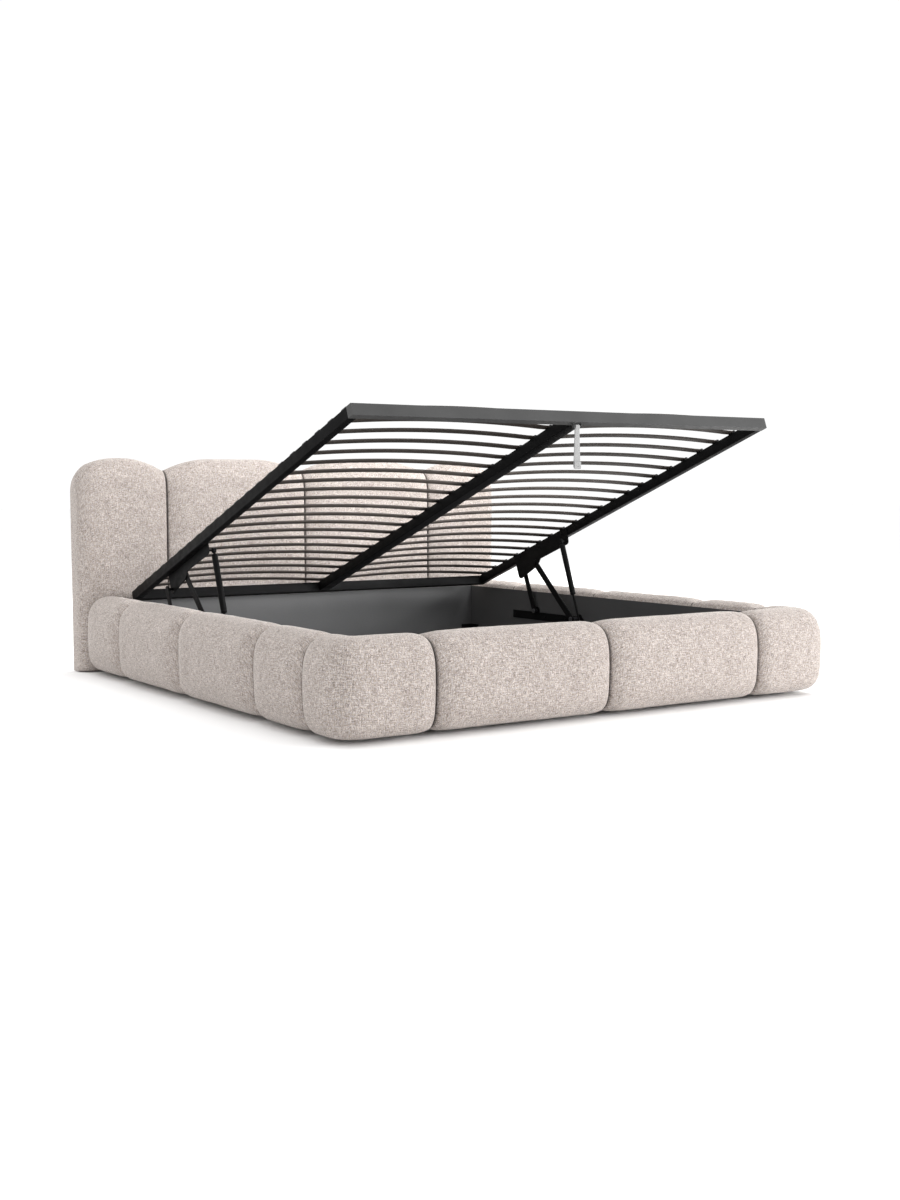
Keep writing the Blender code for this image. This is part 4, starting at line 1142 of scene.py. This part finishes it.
def eye(centre, bore):
    """Ring of a gas spring round its sideways pin, with eased rims."""
    x, y, z = centre
    radius = SPRING_EYE_RADIUS
    half = SPRING_EYE_WIDTH / 2
    ease = SPRING_EYE_WIDTH / 12
    ring = [
        (-half, bore), (-half, radius - ease), (ease - half, radius),
        (half - ease, radius), (half, radius - ease), (half, bore),
    ]
    points = []
    for i in range(ROUND_SIDES):
        angle = 2 * math.pi * i / ROUND_SIDES
        for across, r in ring:
            points.append((x + across, y + r * math.cos(angle), z + r * math.sin(angle)))
    n = len(ring)
    faces = []
    for i in range(ROUND_SIDES):
        j = (i + 1) % ROUND_SIDES
        for k in range(n):
            m = (k + 1) % n
            faces.append((i * n + k, i * n + m, j * n + m, j * n + k))
    return points, faces


def gas_spring(word, side):
    """Tube and piston of a gas spring, each with its eye."""
    x = side * SPRING_X
    top = Vector((x, *SPRING_TOP))
    foot = Vector((x, *SPRING_FOOT))
    length = (foot - top).length
    axis = (foot - top).normalized()
    across = axis.cross(Vector((1, 0, 0)))
    piston = [PISTON_START, *((length - up, radius) for up, radius in PISTON_FOOT_PROFILE)]
    for name, node, profile, end, bore in (
        ("gas_spring_tube", "gas_spring_cylinder", SPRING_TUBE_PROFILE, top, SPRING_TOP_BORE),
        ("gas_spring_piston", "gas_spring_rod", piston, foot, SPRING_FOOT_BORE),
    ):
        points, faces = gathered([turned(profile, top, axis, across, ROUND_SIDES), eye(end, bore)])
        item = new_piece(f"{name}_{word}", points, faces, "black_steel", f"{node}_{word}")
        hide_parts(f"{node}_{word}")


def screw_head(side, y, z):
    """Head of a screw on the inner face of a lower bracket, with a recess in its middle."""
    profile = [(along, SCREW_RADIUS * share) for along, share in SCREW_PROFILE]
    profile.append((SCREW_RECESS, SCREW_CENTRE_RADIUS))
    place = Vector((side * BRACKET_FACE_X, y, z))
    return turned(profile, place, Vector((-side, 0, 0)), Vector((0, 1, 0)), SCREW_SIDES)


def bracket_screws(word, side):
    points, faces = gathered([screw_head(side, y, z) for y, z in SCREW_PLACES])
    new_piece(f"bracket_screws_{word}", points, faces, "black_steel", "box_and_headboard")


for word, side in SIDES:
    gas_spring(word, side)
    bracket_screws(word, side)


# Pull strap
def strap_path():
    """Middle line of the webbing as (outward, up) from the pin. From its tip it goes down
    the fold, up the outer layer, round the pin and down the inner layer."""
    loop = STRAP_PIN_RADIUS + STRAP_PIN_PLAY + STRAP_THICKNESS / 2
    half = (STRAP_THICKNESS + STRAP_LAYER_GAP) / 2
    low = STRAP_END_SPARE - STRAP_LENGTH
    fold = STRAP_FOLD_SHARE * STRAP_THICKNESS + half
    # Small offsets, given one by one
    path = [(fold, low + 0.024), (fold + 0.0002, low + 0.010), (fold - 0.0003, low + 0.003)]
    path += [((fold + half) / 2, low), (half + 0.0002, low + 0.003), (half, low + 0.012)]
    path += [(half, low + 0.040), (half, low + 0.075), (half + 0.0003, -0.016), (loop * 0.8, -0.006)]
    for degrees in (-10, 25, 60, 90, 120, 155, 190):
        angle = math.radians(degrees)
        path.append((loop * math.cos(angle), loop * math.sin(angle)))
    path += [(-loop * 0.8, -0.006), (-half - 0.0003, -0.016), (-half, low + 0.075)]
    path += [(-half, low + 0.040), (-half, low + 0.012), (-half, low + 0.0045)]
    return spline_through(path, 4)


def strap_band(pin):
    path = strap_path()
    thick = STRAP_THICKNESS / 2
    points = []
    for k, (out, up) in enumerate(path):
        before = Vector(path[max(0, k - 1)])
        after = Vector(path[min(len(path) - 1, k + 1)])
        run = (after - before).normalized()
        widening = (STRAP_END_WIDTH - STRAP_TOP_WIDTH) * bounded(-up / STRAP_LENGTH)
        half = (STRAP_TOP_WIDTH + widening) / 2
        for across, t in STRAP_SECTION_SHARES:
            shift = thick * t
            point = (pin.x + half * across, pin.y - out - run.y * shift, pin.z + up - run.x * shift)
            points.append(point)
    faces = loft_faces(len(path), len(STRAP_SECTION_SHARES))
    item = new_piece("pull_strap_webbing", points, faces, "grey_webbing", "pull_strap")
    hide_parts("pull_strap")


def strap_stitches(pin):
    """Rows of stitches on both faces, lower ones on the outer face over the fold."""
    stitches = []
    for side in (-1, 1):
        for up in STITCH_ROWS:
            out = STRAP_THICKNESS + STRAP_LAYER_GAP
            if side < 0 and up < STITCHED_FOLD:
                out = STITCHED_FOLD_SHARE * STRAP_THICKNESS
            for k in range(STITCHES_IN_ROW):
                across = (k - STITCHES_IN_ROW // 2) * STITCH_PITCH
                middle = pin + Vector((across, side * out, up))
                low = middle - STITCH_HALF
                high = middle + STITCH_HALF
                stitches.append(rounded_box(low, high, STITCH_EDGE, steps=1))
    points, faces = gathered(stitches)
    new_piece("pull_strap_stitches", points, faces, "grey_webbing", "pull_strap")


strap_pin = DECK_FRAME @ Vector((STRAP_X, -STRAP_PLACE, -STRAP_BELOW))
strap_band(strap_pin)
strap_stitches(strap_pin)


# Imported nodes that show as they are
def soften(item, width):
    """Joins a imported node's split corners and eases its edges."""
    weld = item.modifiers.new("weld", "WELD")
    weld.merge_threshold = WELD_DISTANCE
    bevel = item.modifiers.new("edges", "BEVEL")
    bevel.limit_method = "ANGLE"
    bevel.angle_limit = EASED_ANGLE
    bevel.width = width
    bevel.segments = 2
    bevel.harden_normals = False


for row in frame["record"]["subparts"]:
    item = nodes[row["node"]]
    name = row["material_slot"]
    item.data.materials.clear()
    item.data.materials.append(MATERIALS[name])
    if name in EDGE_WIDTHS:
        soften(item, EDGE_WIDTHS[name])


# Floor, light and camera
def floor():
    mesh = bpy.data.meshes.new("floor")
    corners = [(x * FLOOR_HALF, y * FLOOR_HALF, 0) for x, y in ((-1, -1), (1, -1), (1, 1), (-1, 1))]
    mesh.from_pydata(corners, [], [(0, 1, 2, 3)])
    item = bpy.data.objects.new("floor", mesh)
    bpy.context.scene.collection.objects.link(item)
    m = Shade("pale_floor", colour=(0.98, 0.98, 0.98), roughness=0.8)
    cloud = m.noise(m.object_coordinates(), scale=0.6, detail=2)
    m.paint(cloud, dark=(0.975, 0.975, 0.975), light=(0.985, 0.985, 0.985))
    m.set("Specular IOR Level", 0.1)
    mesh.materials.append(m.item)


def area_light(name, place, target, size, watts, spread):
    data = bpy.data.lights.new(name, "AREA")
    data.shape = "RECTANGLE"
    data.size, data.size_y = size
    data.energy = watts
    data.spread = math.radians(spread)
    item = bpy.data.objects.new(name, data)
    bpy.context.scene.collection.objects.link(item)
    item.location = place
    item.visible_camera = False
    item.rotation_euler = (Vector(target) - Vector(place)).to_track_quat("-Z", "Y").to_euler()


def studio():
    floor()
    bpy.context.scene.view_settings.view_transform = "Standard"
    world = bpy.data.worlds.new("studio")
    bpy.context.scene.world = world
    world.use_nodes = True
    background = world.node_tree.nodes["Background"]
    background.inputs["Color"].default_value = (1.0, 1.0, 1.0, 1.0)
    background.inputs["Strength"].default_value = WORLD_STRENGTH
    for light in LIGHTS:
        area_light(*light)


def camera():
    data = bpy.data.cameras.new("photo_camera")
    item = bpy.data.objects.new("photo_camera", data)
    bpy.context.scene.collection.objects.link(item)
    data.sensor_width = SENSOR
    data.lens = CAMERA_FOCAL_PIXELS * SENSOR / PICTURE_HEIGHT_PIXELS
    data.clip_end = 200
    item.location = CAMERA_PLACE
    turn = Matrix.Rotation(-CAMERA_YAW, 4, "Z") @ Matrix.Rotation(math.pi / 2 + CAMERA_PITCH, 4, "X")
    turn = turn @ Matrix.Rotation(CAMERA_ROLL, 4, "Z")
    item.rotation_euler = turn.to_euler()
    bpy.context.scene.camera = item


studio()
camera()
